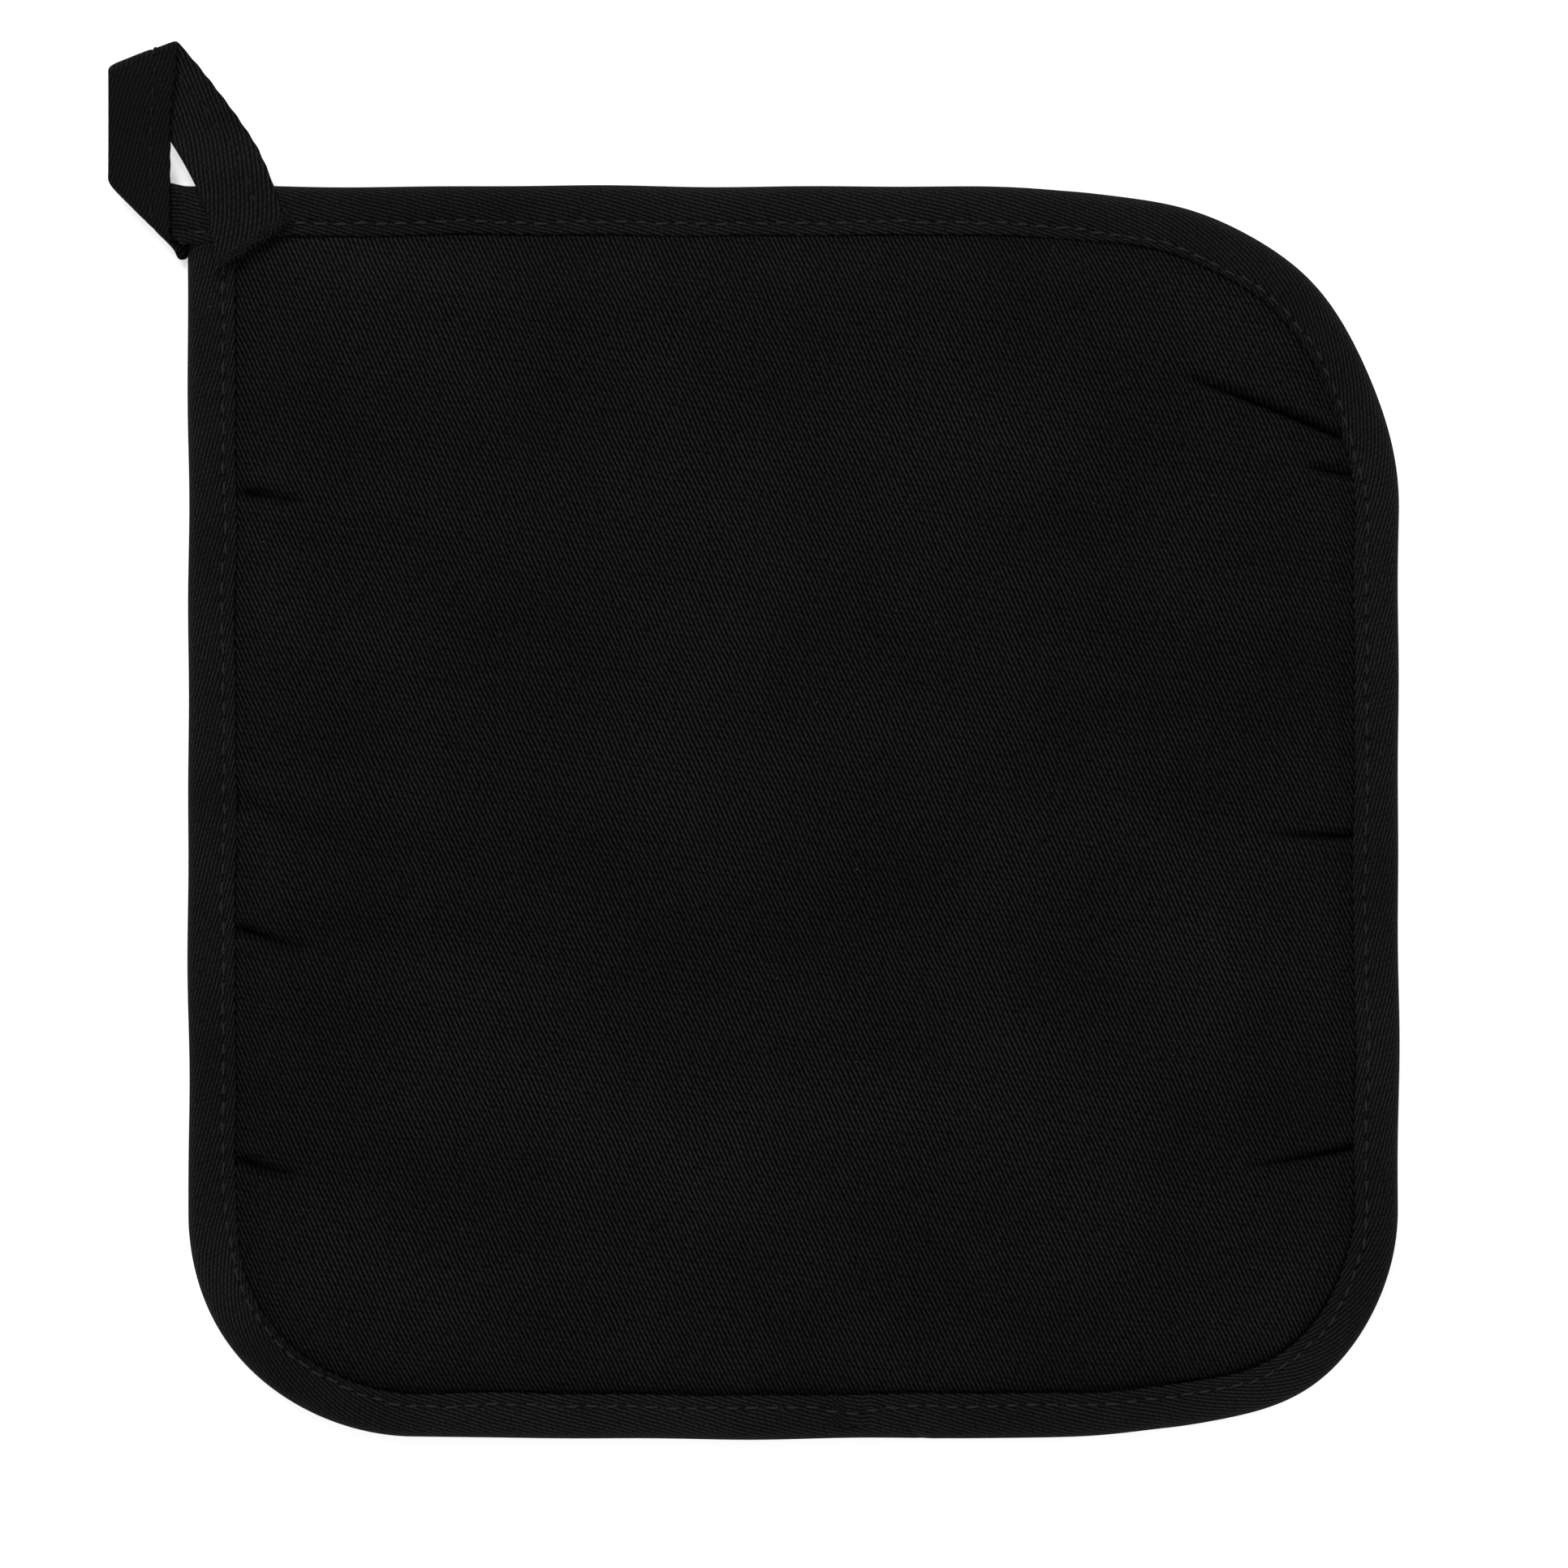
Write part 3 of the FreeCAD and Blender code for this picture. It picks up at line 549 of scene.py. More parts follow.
def settled_cloth(front):
    """Lets a cover with a little spare cloth settle on the wadding, pinned where it is sewn.
    Returns the settled heights, less the unsettled ones, as a function of place."""
    px, py, quads = cover_grid(SIM_SPACING, CUT_EDGE)
    depth = inside_depth(px, py)
    rest = swell(depth, 0.0, PAD_THICK - COVER_EDGE if front else 1.2)
    points = np.stack([px, py, rest], 1) * SIM_SCALE
    # The cloth starts with shallow waves that run in from the left and right edges.
    random = rng(11 if front else 12)
    waves = np.zeros(len(px))
    for _ in range(START_WAVES):
        up, across, phase = random.uniform(12, 34), random.uniform(80, 260), random.uniform(0, 7)
        waves += np.sin(2 * np.pi * (py / up + px / across) + phase)
    loose = smooth(depth, FLAP + 1, FLAP + 9) * (0.35 + 0.65 * smooth(np.abs(px), 30, 75))
    start = points + np.array([0, 0, 1.0]) * (waves * loose * START_WAVE_HIGH)[:, None]
    cloth = make_object("settling_cloth", start, quads)
    pins = cloth.vertex_groups.new(name="sewn")
    pins.add(np.flatnonzero(depth < FLAP + 1.0).tolist(), 1.0, "REPLACE")
    cloth.shape_key_add(name="Basis")
    cut = cloth.shape_key_add(name="as_cut")
    larger = points * MM * np.array([1 + SPARE_ACROSS, 1 + SPARE_UP, 1.0])
    cut.data.foreach_set("co", larger.ravel())
    bed = make_object("settling_bed", points - np.array([0, 0, BED_DROP]), quads)
    bed.modifiers.new("bed", "COLLISION")
    bed.collision.thickness_outer = SIM_MARGIN * MM
    bed.collision.cloth_friction = 5.0
    solver = cloth.modifiers.new("cloth", "CLOTH")
    for name, value in (
            ("quality", 6), ("mass", 0.2), ("tension_stiffness", 40),
            ("compression_stiffness", 40), ("shear_stiffness", 12), ("bending_stiffness", 2.0),
            ("tension_damping", 12), ("compression_damping", 12), ("bending_damping", 1),
            ("vertex_group_mass", "sewn"), ("rest_shape_key", cut)):
        setattr(solver.settings, name, value)
    solver.collision_settings.distance_min = SIM_MARGIN * MM
    solver.settings.effector_weights.gravity = 0.12
    scene = bpy.context.scene
    for number in range(1, SIM_FRAMES + 1):
        scene.frame_set(number)
    bpy.context.view_layer.update()
    mesh = cloth.evaluated_get(bpy.context.evaluated_depsgraph_get()).to_mesh()
    settled = np.empty(len(mesh.vertices) * 3)
    mesh.vertices.foreach_get("co", settled)
    scene.frame_set(1)
    settled = settled.reshape(-1, 3) / (MM * SIM_SCALE)
    for helper in (cloth, bed):
        data = helper.data
        bpy.data.objects.remove(helper)
        bpy.data.meshes.remove(data)
    lift = np.clip(settled[:, 2] - rest, LIFT_LEAST, LIFT_MOST)
    # Spread the lifts over a plain grid, which is then read between its points.
    columns = np.round((px - LEFT) / SIM_SPACING).astype(int)
    rows = np.round((py - BOTTOM) / SIM_SPACING).astype(int)
    grid = np.zeros((columns.max() + 2, rows.max() + 2))
    grid[columns, rows] = lift
    for _ in range(2):
        padded = np.pad(grid, 1, mode="edge")
        grid = (4 * grid + 2 * (padded[2:, 1:-1] + padded[:-2, 1:-1] + padded[1:-1, 2:]
                + padded[1:-1, :-2]) + padded[2:, 2:] + padded[:-2, :-2] + padded[2:, :-2]
                + padded[:-2, 2:]) / 16

    def lift_at(x, y):
        at_x = np.clip((x - LEFT) / SIM_SPACING, 0, grid.shape[0] - 1.001)
        at_y = np.clip((y - BOTTOM) / SIM_SPACING, 0, grid.shape[1] - 1.001)
        i, j = at_x.astype(int), at_y.astype(int)
        u, v = smooth(at_x - i, 0, 1), smooth(at_y - j, 0, 1)
        return ((1 - u) * (1 - v) * grid[i, j] + u * (1 - v) * grid[i + 1, j]
                + (1 - u) * v * grid[i, j + 1] + u * v * grid[i + 1, j + 1])

    return lift_at


def front_height(x, y, lift_at):
    """The front cover's outer face."""
    depth = inside_depth(x, y)
    free = smooth(depth, FLAP - 0.5, FLAP + 6)
    height = swell(depth, COVER_EDGE, PAD_THICK)
    # The bar tack pulls the corner down.
    away = (x - TACK_DIMPLE[0]) ** 2 + (y - TACK_DIMPLE[1]) ** 2
    near_tack = np.exp(-away / DIMPLE_REACH ** 2)
    height -= (height - COVER_EDGE) * DIMPLE_SHARE * near_tack
    height += LIFT_GAIN * free * lift_at(x, y) + crease_height(x, y) * smooth(depth, 6.0, 7.5)
    return np.maximum(height, CREASE_FLOOR)


def back_height(x, y, lift_at):
    """The back cover's outer face, which lies on the table in the middle."""
    depth = inside_depth(x, y)
    free = smooth(depth, FLAP - 0.5, FLAP + 6)
    height = swell(depth, BACK_EDGE, 0.0)
    return np.maximum(height + 0.35 * free * np.abs(lift_at(x, y)), 0.0)


def cloth_map(x, y):
    """A flat place on the pad as metres from its bottom left corner."""
    return np.stack([(x - LEFT) * MM, (y - BOTTOM) * MM], 1)


def cover(name, spacing, height_of, lift_at, material, front):
    """One cover: a sheet of cloth with its own thickness, cut to the outline."""
    px, py, quads = cover_grid(spacing, CUT_EDGE, gathered=front)
    pz = height_of(px, py, lift_at)
    faces = quads if front else quads[:, ::-1]
    points = drawn(np.stack([px, py, pz], 1))
    piece = make_object(name, points, faces, cloth_map(px, py))
    solid = piece.modifiers.new("thickness", "SOLIDIFY")
    solid.thickness = CLOTH * MM
    solid.offset = -1.0
    if front:
        # The painted shade of the creases and of the strip under the bottom flap, kept for the
        # cloth's colour.
        layer = piece.data.attributes.new("pinched", "FLOAT", "POINT")
        layer.data.foreach_set("value", pinched(px, py).astype(np.float32))
    apply_modifiers(piece)
    piece.data.materials.append(material)
    return piece


def wadding(lift_front, lift_back, material):
    """The padding between the covers: a closed slab that fills the space they leave."""
    px, py, quads = cover_grid(2.5, CUT_EDGE + 0.4)
    random = rng(5)
    high = front_height(px, py, lift_front) - CLOTH - 0.12
    high = np.minimum(high, high - crease_height(px, py)) - crease_hollow(px, py)
    low = back_height(px, py, lift_back) + CLOTH + 0.12
    high -= random.random(len(px)) * 0.08
    low += random.random(len(px)) * 0.08
    high = np.maximum(high, low + 0.4)
    count = len(px)
    points = np.vstack([np.stack([px, py, high], 1), np.stack([px, py, low], 1)])
    edges = np.vstack([quads[:, [0, 1]], quads[:, [1, 2]], quads[:, [2, 3]], quads[:, [3, 0]]])
    keys = np.sort(edges, 1)
    _, first, uses = np.unique(keys, axis=0, return_index=True, return_counts=True)
    rim = edges[first[uses == 1]]
    walls = np.stack([rim[:, 1], rim[:, 0], rim[:, 0] + count, rim[:, 1] + count], 1)
    faces = np.vstack([quads, quads[:, ::-1] + count, walls])
    piece = make_object("wadding", drawn(points), faces, np.tile(cloth_map(px, py), (2, 1)))
    piece.data.materials.append(material)
    return piece


# ---------------------------------------------------------------- the binding
def pad_section(front_flap, back_flap, stitch, lift_front, lift_back, dip, puff):
    """The binding's cross-section round the pad's edge, as (distance in, height) points: the
    outer face from the front flap's inner edge to the back flap's, then the inner face back."""
    thick = EDGE_THICK
    top = thick + 0.15 + puff
    outer = [
        (front_flap, thick - 0.52 + lift_front),
        (front_flap + 0.16, thick - 0.22 + lift_front),
        (front_flap - 0.25, thick + 0.04 + lift_front),
        (stitch + 0.8, thick + 0.04 + lift_front),
        (stitch, thick - dip + lift_front),
        (stitch - 0.85, thick + 0.10 + lift_front),
        (stitch - 2.2, top + 0.12 + lift_front),
        (2.4, top + 0.05 + lift_front),
        (1.1, top - 0.45 + lift_front),
        (0.3, top - 1.25 + lift_front),
        (0.0, thick / 2 + 0.15),
        (0.25, 0.95 + lift_back),
        (1.0, 0.32 + lift_back),
        (2.4, 0.03 + lift_back),
        (stitch - 2.2, 0.0 + lift_back),
        (stitch - 0.85, 0.06 + lift_back),
        (stitch, 0.05 + dip + lift_back),
        (stitch + 0.8, 0.08 + lift_back),
        (back_flap - 0.25, 0.05 + lift_back),
        (back_flap + 0.16, 0.28 + lift_back),
        (back_flap, 0.52 + lift_back),
    ]
    inner = [
        (back_flap - 0.1, 0.54 + lift_back), (5.0, 0.54 + lift_back), (2.5, 0.6 + lift_back),
        (1.2, 0.95 + lift_back), (0.6, thick / 2 + 0.15), (1.2, thick - 0.85 + lift_front),
        (2.5, thick - 0.55 + lift_front), (5.0, thick - 0.5 + lift_front),
        (front_flap - 0.1, thick - 0.5 + lift_front),
    ]
    return np.array(outer), np.array(inner)


def tape_section(wide, stitch, dip, peek=0.0):
    """The closed tape's cross-section, in the same order: (distance in from the folded edge,
    height above its middle). The two flaps meet with a hair of space between them, and the
    back one stands out by peek."""
    half = TAPE_HALF_THICK
    front = [
        (wide, 0.05), (wide + 0.13, half * 0.55), (wide - 0.3, half * 0.95),
        (stitch + 0.8, half * 0.97), (stitch, half - dip), (stitch - 0.85, half * 0.99),
        (stitch - 2.2, half + 0.03), (2.4, half + 0.03), (1.1, half), (0.25, half * 0.7),
    ]
    # The part that stands out lies nearly level with the front flap.
    back = [(d + peek * (d > stitch + 1), -z + 0.5 * peek * (d > wide - 0.5))
            for d, z in reversed(front)]
    outer = front + [(0.0, 0.0)] + back
    inner = [(wide + peek - 0.1, -0.04), (5.0, -0.04), (2.5, -0.04), (1.2, -0.03), (0.6, 0.0),
             (1.2, 0.03), (2.5, 0.04), (5.0, 0.04), (wide - 0.1, 0.04)]
    return np.array(outer), np.array(inner)


def whole_section(outer, inner, rounds=1):
    """Both faces of a section as one closed ring, the faces smoothed."""
    return np.vstack([resampled(outer, rounds), resampled(inner, rounds - 1)])


def tape_places(outer, total, rounds=1):
    """Places across the tape for a section's points, from its outer fold, in mm. The puckers
    don't count, so that the cloth's ribs run on evenly past them."""
    line = resampled(outer, rounds)
    fold = len(line) // 2
    round_edge = np.minimum(line[1:, 0], line[:-1, 0]) < 2.4
    steps = np.hypot(np.diff(line[:, 0]), np.where(round_edge, np.diff(line[:, 1]), 0.0))
    run = np.concatenate([[0], np.cumsum(steps)])
    run -= run[fold]
    return np.concatenate([run, np.linspace(run[-1], run[0], total - len(run))])


SEAM_FOOT = np.array([15.2, -98.6])     # the piecing seam, from the flap's inner edge
SEAM_HEAD = np.array([21.3, -103.5])    # to the outer fold
WIDENING = 1.6
BACK_WIDENING = 1.6                     # the back flap's widening, as a share of the front's


def top_run_widening(x):
    """How much wider the flap is near the loop, where the tape begins to close."""
    return WIDENING * smooth(x, LEFT + 18, LEFT + 1)


def stitch_inset(point, along, flap):
    """Distance of the topstitching from the outer edge, which wavers as sewing does and
    swerves out just before the piecing seam."""
    inset = flap - STITCH_IN + wander(along, 31, (17.0, 41.0, 9.0), 0.22)
    if point[1] < BOTTOM + 20:
        inset -= 1.1 * math.exp(-((point[0] - 9.5) / 4.5) ** 2)
    inset += 0.8 * smooth(point[0], 44, 58) * smooth(point[1], 48, 62)
    inset += 0.9 * smooth(point[0], -60, -85) * smooth(point[1], -62, -80)
    return float(inset)


def edge_section(index, stations):
    """The binding's section at one station round the pad, with its puckers and swells."""
    along, points, inward = stations
    s, (x, y), (facing_x, facing_y) = along[index], points[index], inward[index]
    # Each stitch pulls the flap in at its ends and lets it rise between them.
    pucker = math.cos(2 * math.pi * s / STITCH_PITCH)
    on_top = facing_y < -0.99
    on_left = facing_x > 0.99
    sides = (max(-facing_y, 0), max(facing_x, 0), max(-facing_x, 0), max(facing_y, 0))
    flap = sum(wide * share ** 2 for wide, share in zip(FLAPS, sides))
    flap += float(wander(s, 21, (23.0, 37.0, 71.0), 0.28)) + 0.06 * pucker
    back = FLAP + 0.7 + float(wander(s, 22, (19.0, 43.0), 0.35))
    if on_top:
        flap += float(top_run_widening(x))
        back += BACK_WIDENING * float(top_run_widening(x))
    stitch = stitch_inset((x, y), s, flap)
    lift_front = 0.5 * float(smooth(x, LEFT + 10, LEFT + 7)) if on_top else 0.0
    lift_back = 0.5 * float(smooth(y, TOP - 10, TOP - 7)) if on_left else 0.0
    puff = float(wander(s, 23, (13.0, 29.0, 47.0), 0.12))
    dip = STITCH_DIP * (1 - pucker) ** 2
    return pad_section(flap, back, stitch, lift_front, lift_back, dip, puff)


def seam_groove(x, y):
    """How far the piecing seam draws the tape in at a place on the bottom binding."""
    run = SEAM_HEAD - SEAM_FOOT
    length = np.linalg.norm(run)
    side = ((x - SEAM_FOOT[0]) * -run[1] + (y - SEAM_FOOT[1]) * run[0]) / length
    return 0.3 * np.exp(-(side / 0.45) ** 2) - 0.16 * np.exp(-((side - 1.1) / 0.7) ** 2)


def edge_bow(along):
    """How far the whole edge wavers inwards, at distances along it."""
    waver = wander(along, 24, (52.0, 83.0, 31.0), 0.22)
    return waver * smooth(along, 0, 12) * smooth(along, along[-1], along[-1] - 12)


def binding(material):
    """The folded tape round the whole edge, from under the square corner back over it."""
    stations = edge_stations(STATION)
    along, points, inward = stations
    rings, maps = [], []
    bow = edge_bow(along)
    for index, (point, inwards) in enumerate(zip(points, inward)):
        outer, inner = edge_section(index, stations)
        ring = whole_section(outer, inner)
        place = point + inwards * (ring[:, :1] + bow[index])
        height = ring[:, 1].copy()
        if point[1] < BOTTOM + 3 and 5 < point[0] < 32:
            groove = seam_groove(place[:, 0], place[:, 1])
            is_front = np.arange(len(ring)) < len(resampled(outer, 1)) / 2
            height -= np.where(is_front, groove, 0.0)
        rings.append(np.column_stack([place, height]))
        across = tape_places(outer, len(ring)) + MAP_MIDDLE
        maps.append(np.column_stack([np.full(len(ring), along[index]), across]) * MM)
    piece = swept_tape("binding", [drawn(ring) for ring in rings], maps)
    piece.data.materials.append(material)
    return piece


def swept_tape(name, rings, maps):
    """A closed tape from its cross-sections and their places on the cloth, with flat ends."""
    around = len(rings[0])
    faces = [list(face) for face in tube_faces(len(rings), around)]
    faces.append(list(range(around)))
    last = (len(rings) - 1) * around
    faces.append([last + i for i in reversed(range(around))])
    return outwards(make_object(name, np.vstack(rings), faces, np.vstack(maps)))


def outwards(piece):
    """Turns a closed piece's faces outwards. Its many-sided ends are left flat, so that the
    faces beside them are shaded evenly."""
    mesh = bmesh.new()
    mesh.from_mesh(piece.data)
    for face in mesh.faces:
        face.smooth = len(face.verts) == 4
    bmesh.ops.recalc_face_normals(mesh, faces=mesh.faces)
    mesh.to_mesh(piece.data)
    mesh.free()
    return piece


# ---------------------------------------------------------------- the loop
TAPE_MIDDLE_Y = TAB_TOP - TAPE_WIDE / 2
BEND = TAPE_HALF_THICK               # radius of the tape's middle where it folds
FOLD_ONE = -(STRIP_LEFT + TAB_TOP) - BEND * math.pi / math.sqrt(2)  # x + y is minus this there
TOP_FOLD = np.array([11.15, STRIP_HIGH_RIGHT - STRIP_HIGH_LEFT])
TOP_FOLD_ALONG = TOP_FOLD / np.linalg.norm(TOP_FOLD)
TOP_FOLD_UP = np.array([-TOP_FOLD_ALONG[1], TOP_FOLD_ALONG[0]])
TOP_FOLD_MID = (np.array([STRIP_LEFT, STRIP_HIGH_LEFT]) + TOP_FOLD / 2
                - TOP_FOLD_UP * (BEND + TAPE_HALF_THICK - 0.35))
LEG_HEADING = 2 * TOP_FOLD_ALONG * TOP_FOLD_ALONG[1] - np.array([0.0, 1.0])
LEG_SIDE = np.array([-LEG_HEADING[1], LEG_HEADING[0]])
LEG_RISE_FROM = TOP + 9.5
LEG_RISE_TO = TOP + 1.2
LEG_OVER_PAD = EDGE_THICK + 1.05
LEG_END_MARGIN = 0.3                 # tape below the bar tack
LEG_PRESSED = 0.4                    # the bar tack presses the leg's end down by this
CLOSING_RUN = 3.4                    # where the tape closes, past the pad's side


def folded_over(past, place, height, normal, turn):
    """Bends the part of a flat tape that is past a line over it: past is the distance beyond
    the line, normal points beyond it, and turn is 1 to fold forward or -1 to fold back."""
    round_it = np.clip(past, 0, math.pi * BEND)
    offset = np.where(past <= 0, past, BEND * np.sin(round_it / BEND))
    offset = np.where(past > math.pi * BEND, -(past - math.pi * BEND), offset)
    place = place + (offset - past)[:, None] * normal
    height = height + turn * BEND * (1 - np.cos(round_it / BEND))
    return place, height


def turned(vector, angle):
    """A flat vector turned by each of the angles."""
    return np.stack([vector[0] * np.cos(angle) - vector[1] * np.sin(angle),
                     vector[0] * np.sin(angle) + vector[1] * np.cos(angle)], 1)


def leg_line(run):
    """The leg's curved middle line and its turn, at distances past the top fold."""
    steps = np.arange(0, 2 * LEG_LONG, 0.1)
    turn = -LEG_TURN * steps / LEG_LONG - LEG_HOOK * (steps / LEG_LONG) ** 3
    path = np.cumsum(turned(LEG_HEADING, turn) * 0.1, axis=0)
    return (np.stack([np.interp(run, steps, path[:, 0]), np.interp(run, steps, path[:, 1])], 1),
            np.interp(run, steps, turn))


def loop_middle(u, v):
    """The middle of the loop's tape at u along it from the pad's side and v across it, where v
    is up on the tab. Arrays in, points out."""
    u, v = np.asarray(u, float), np.asarray(v, float)
    # The tape opens a little on its stitched side, up to the top fold and again down the leg.
    spread = 1 + 0.10 * smooth(u, 22, 34) + 0.07 * smooth(u, 44, 62)
    v = TAPE_WIDE / 2 - (TAPE_WIDE / 2 - v) * spread
    place = np.stack([LEFT - u, TAPE_MIDDLE_Y + v], 1)
    height = np.full(len(u), TAPE_MID)
    beyond = np.array([-1.0, -1.0]) / math.sqrt(2)
    past = -(place.sum(1) + FOLD_ONE) / math.sqrt(2)
    place, height = folded_over(past, place, height, beyond, 1)
    past = (place - TOP_FOLD_MID) @ TOP_FOLD_UP
    on_leg = (past > 0) & (u > 20)
    folded, lower = folded_over(past, place, height, TOP_FOLD_UP, -1)
    place = np.where(on_leg[:, None], folded, place)
    height = np.where(on_leg, lower, height)
    # The leg curves in its own plane.
    rest = place - TOP_FOLD_MID
    run, side = rest @ LEG_HEADING, rest @ LEG_SIDE
    line, angle = leg_line(run)
    curved = TOP_FOLD_MID + line + side[:, None] * turned(LEG_SIDE, angle)
    bends = on_leg & (past > BEND) & (run > 0)
    place = np.where(bends[:, None], curved, place)
    # It rises on to the binding, and its sewn end is pressed down again.
    rise = smooth(place[:, 1], LEG_RISE_FROM, LEG_RISE_TO)
    height = np.where(bends, height + rise * (LEG_OVER_PAD - TAPE_MID), height)
    end = tack_distance(place)
    height = np.where(bends, height - LEG_PRESSED * smooth(end, 3.5, 0.4) * rise, height)
    height = height + np.where(u > 3, 0.12 * np.sin(u / 5.0), 0.0) * smooth(u, 3, 9)
    return np.column_stack([place, height])


def tack_distance(place):
    """Distance of a place above the bar tack's line, along the leg."""
    across = np.array([-math.sin(TACK_SLANT), math.cos(TACK_SLANT)])
    return (place - TACK_END) @ across


def loop_frame(u, v):
    """Middle points, headings along the tape and normals to its face."""
    step = 0.05
    here = loop_middle(u, v)
    heading = loop_middle(u + step, v) - loop_middle(u - step, v)
    crosswise = loop_middle(u, v + step) - loop_middle(u, v - step)
    normal = np.cross(crosswise, heading)
    normal /= np.linalg.norm(normal, axis=1)[:, None]
    heading /= np.linalg.norm(heading, axis=1)[:, None]
    return here, heading, normal


def leg_ends(v):
    """How far along the tape each lengthwise line reaches the bar tack's outer margin."""
    u = np.arange(50, 90, 0.1)
    found = []
    for across in v:
        place = loop_middle(u, np.full(len(u), across))[:, :2]
        left = tack_distance(place) + LEG_END_MARGIN
        found.append(u[np.argmax(left < 0)])
    return np.array(found)


def hanging_loop(material, strip_shaded_material):
    """The tape beyond the pad's side: tab, strip and leg, in one folded length. The strip,
    between the two folds, takes a darker, smoother copy of the tape's cloth: painted shade, with
    fewer specks of lint."""
    edge = edge_stations(STATION)
    pad_outer, pad_inner = edge_section(len(edge[0]) - 1, edge)
    first = whole_section(pad_outer, pad_inner, 3)
    first = np.column_stack([TOP - first[:, 0] - TAPE_MIDDLE_Y, first[:, 1] - TAPE_MID])
    stitch = TAPE_WIDE - LOOP_STITCH_IN
    outer, inner = tape_section(TAPE_WIDE, stitch, 0.12)
    closed = whole_section(outer, inner, 3)
    ends = leg_ends(TAPE_WIDE / 2 - closed[:, 0])
    across = tape_places(outer, len(closed), 3) + MAP_MIDDLE
    pad_across = tape_places(pad_outer, len(closed), 3) + MAP_MIDDLE
    start = edge[0][-1]
    rings, maps, on_strip = [], [], []
    for t in np.linspace(0, 1, LOOP_STATIONS):
        u = t * ends
        middle = float(u.mean())
        pucker = math.cos(2 * math.pi * middle / STITCH_PITCH)
        peek = BACK_PEEK * float(smooth(middle, 3.0, 1.6))
        dip = LOOP_DIP * (1 - pucker) ** 2
        closed = whole_section(*tape_section(TAPE_WIDE + 0.05 * pucker, stitch, dip, peek), 3)
        mix = float(smooth(middle, 0, CLOSING_RUN))
        v = (1 - mix) * first[:, 0] + mix * (TAPE_WIDE / 2 - closed[:, 0])
        rise = (1 - mix) * first[:, 1] + mix * closed[:, 1]
        here, _, normal = loop_frame(u, v)
        rings.append(here + normal * rise[:, None])
        tape_place = (1 - mix) * pad_across + mix * across
        maps.append(np.column_stack([start + u, tape_place]) * MM)
        on_strip.append(normal[:, 2] < 0)
    # The end is turned under: the last rings close in to the tape's middle.
    for extra, keep in ((0.25, 0.86), (0.45, 0.5), (0.52, 0.12)):
        u = ends + extra
        here, _, normal = loop_frame(u, TAPE_WIDE / 2 - closed[:, 0])
        rings.append(here + normal * (closed[:, 1] * keep)[:, None])
        maps.append(np.column_stack([start + u, across]) * MM)
    piece = swept_tape("hanging_loop", rings, maps)
    piece.data.materials.append(material)
    piece.data.materials.append(strip_shaded_material)
    # The strip's faces take the darker copy of the tape: painted shade.
    cloth_index = np.zeros(len(piece.data.polygons), int)
    cloth_index[:len(on_strip) * len(rings[0])] = np.concatenate(on_strip)
    piece.data.polygons.foreach_set("material_index", cloth_index)
    return piece


# ---------------------------------------------------------------- stitches
def stored(tree, geometry, name, value, kind="FLOAT"):
    """Keeps a value on a geometry's points under a name."""
    made = node(tree, "GeometryNodeStoreNamedAttribute", [(geometry, "Geometry")],
                data_type=kind, domain="POINT")
    made.inputs["Name"].default_value = name
    tree.links.new(value, made.inputs["Value"])
    return made.outputs[0]


def recalled(tree, name, kind="FLOAT"):
    """Reads a kept value back."""
    made = node(tree, "GeometryNodeInputNamedAttribute", data_type=kind)
    made.inputs["Name"].default_value = name
    return made.outputs[0]


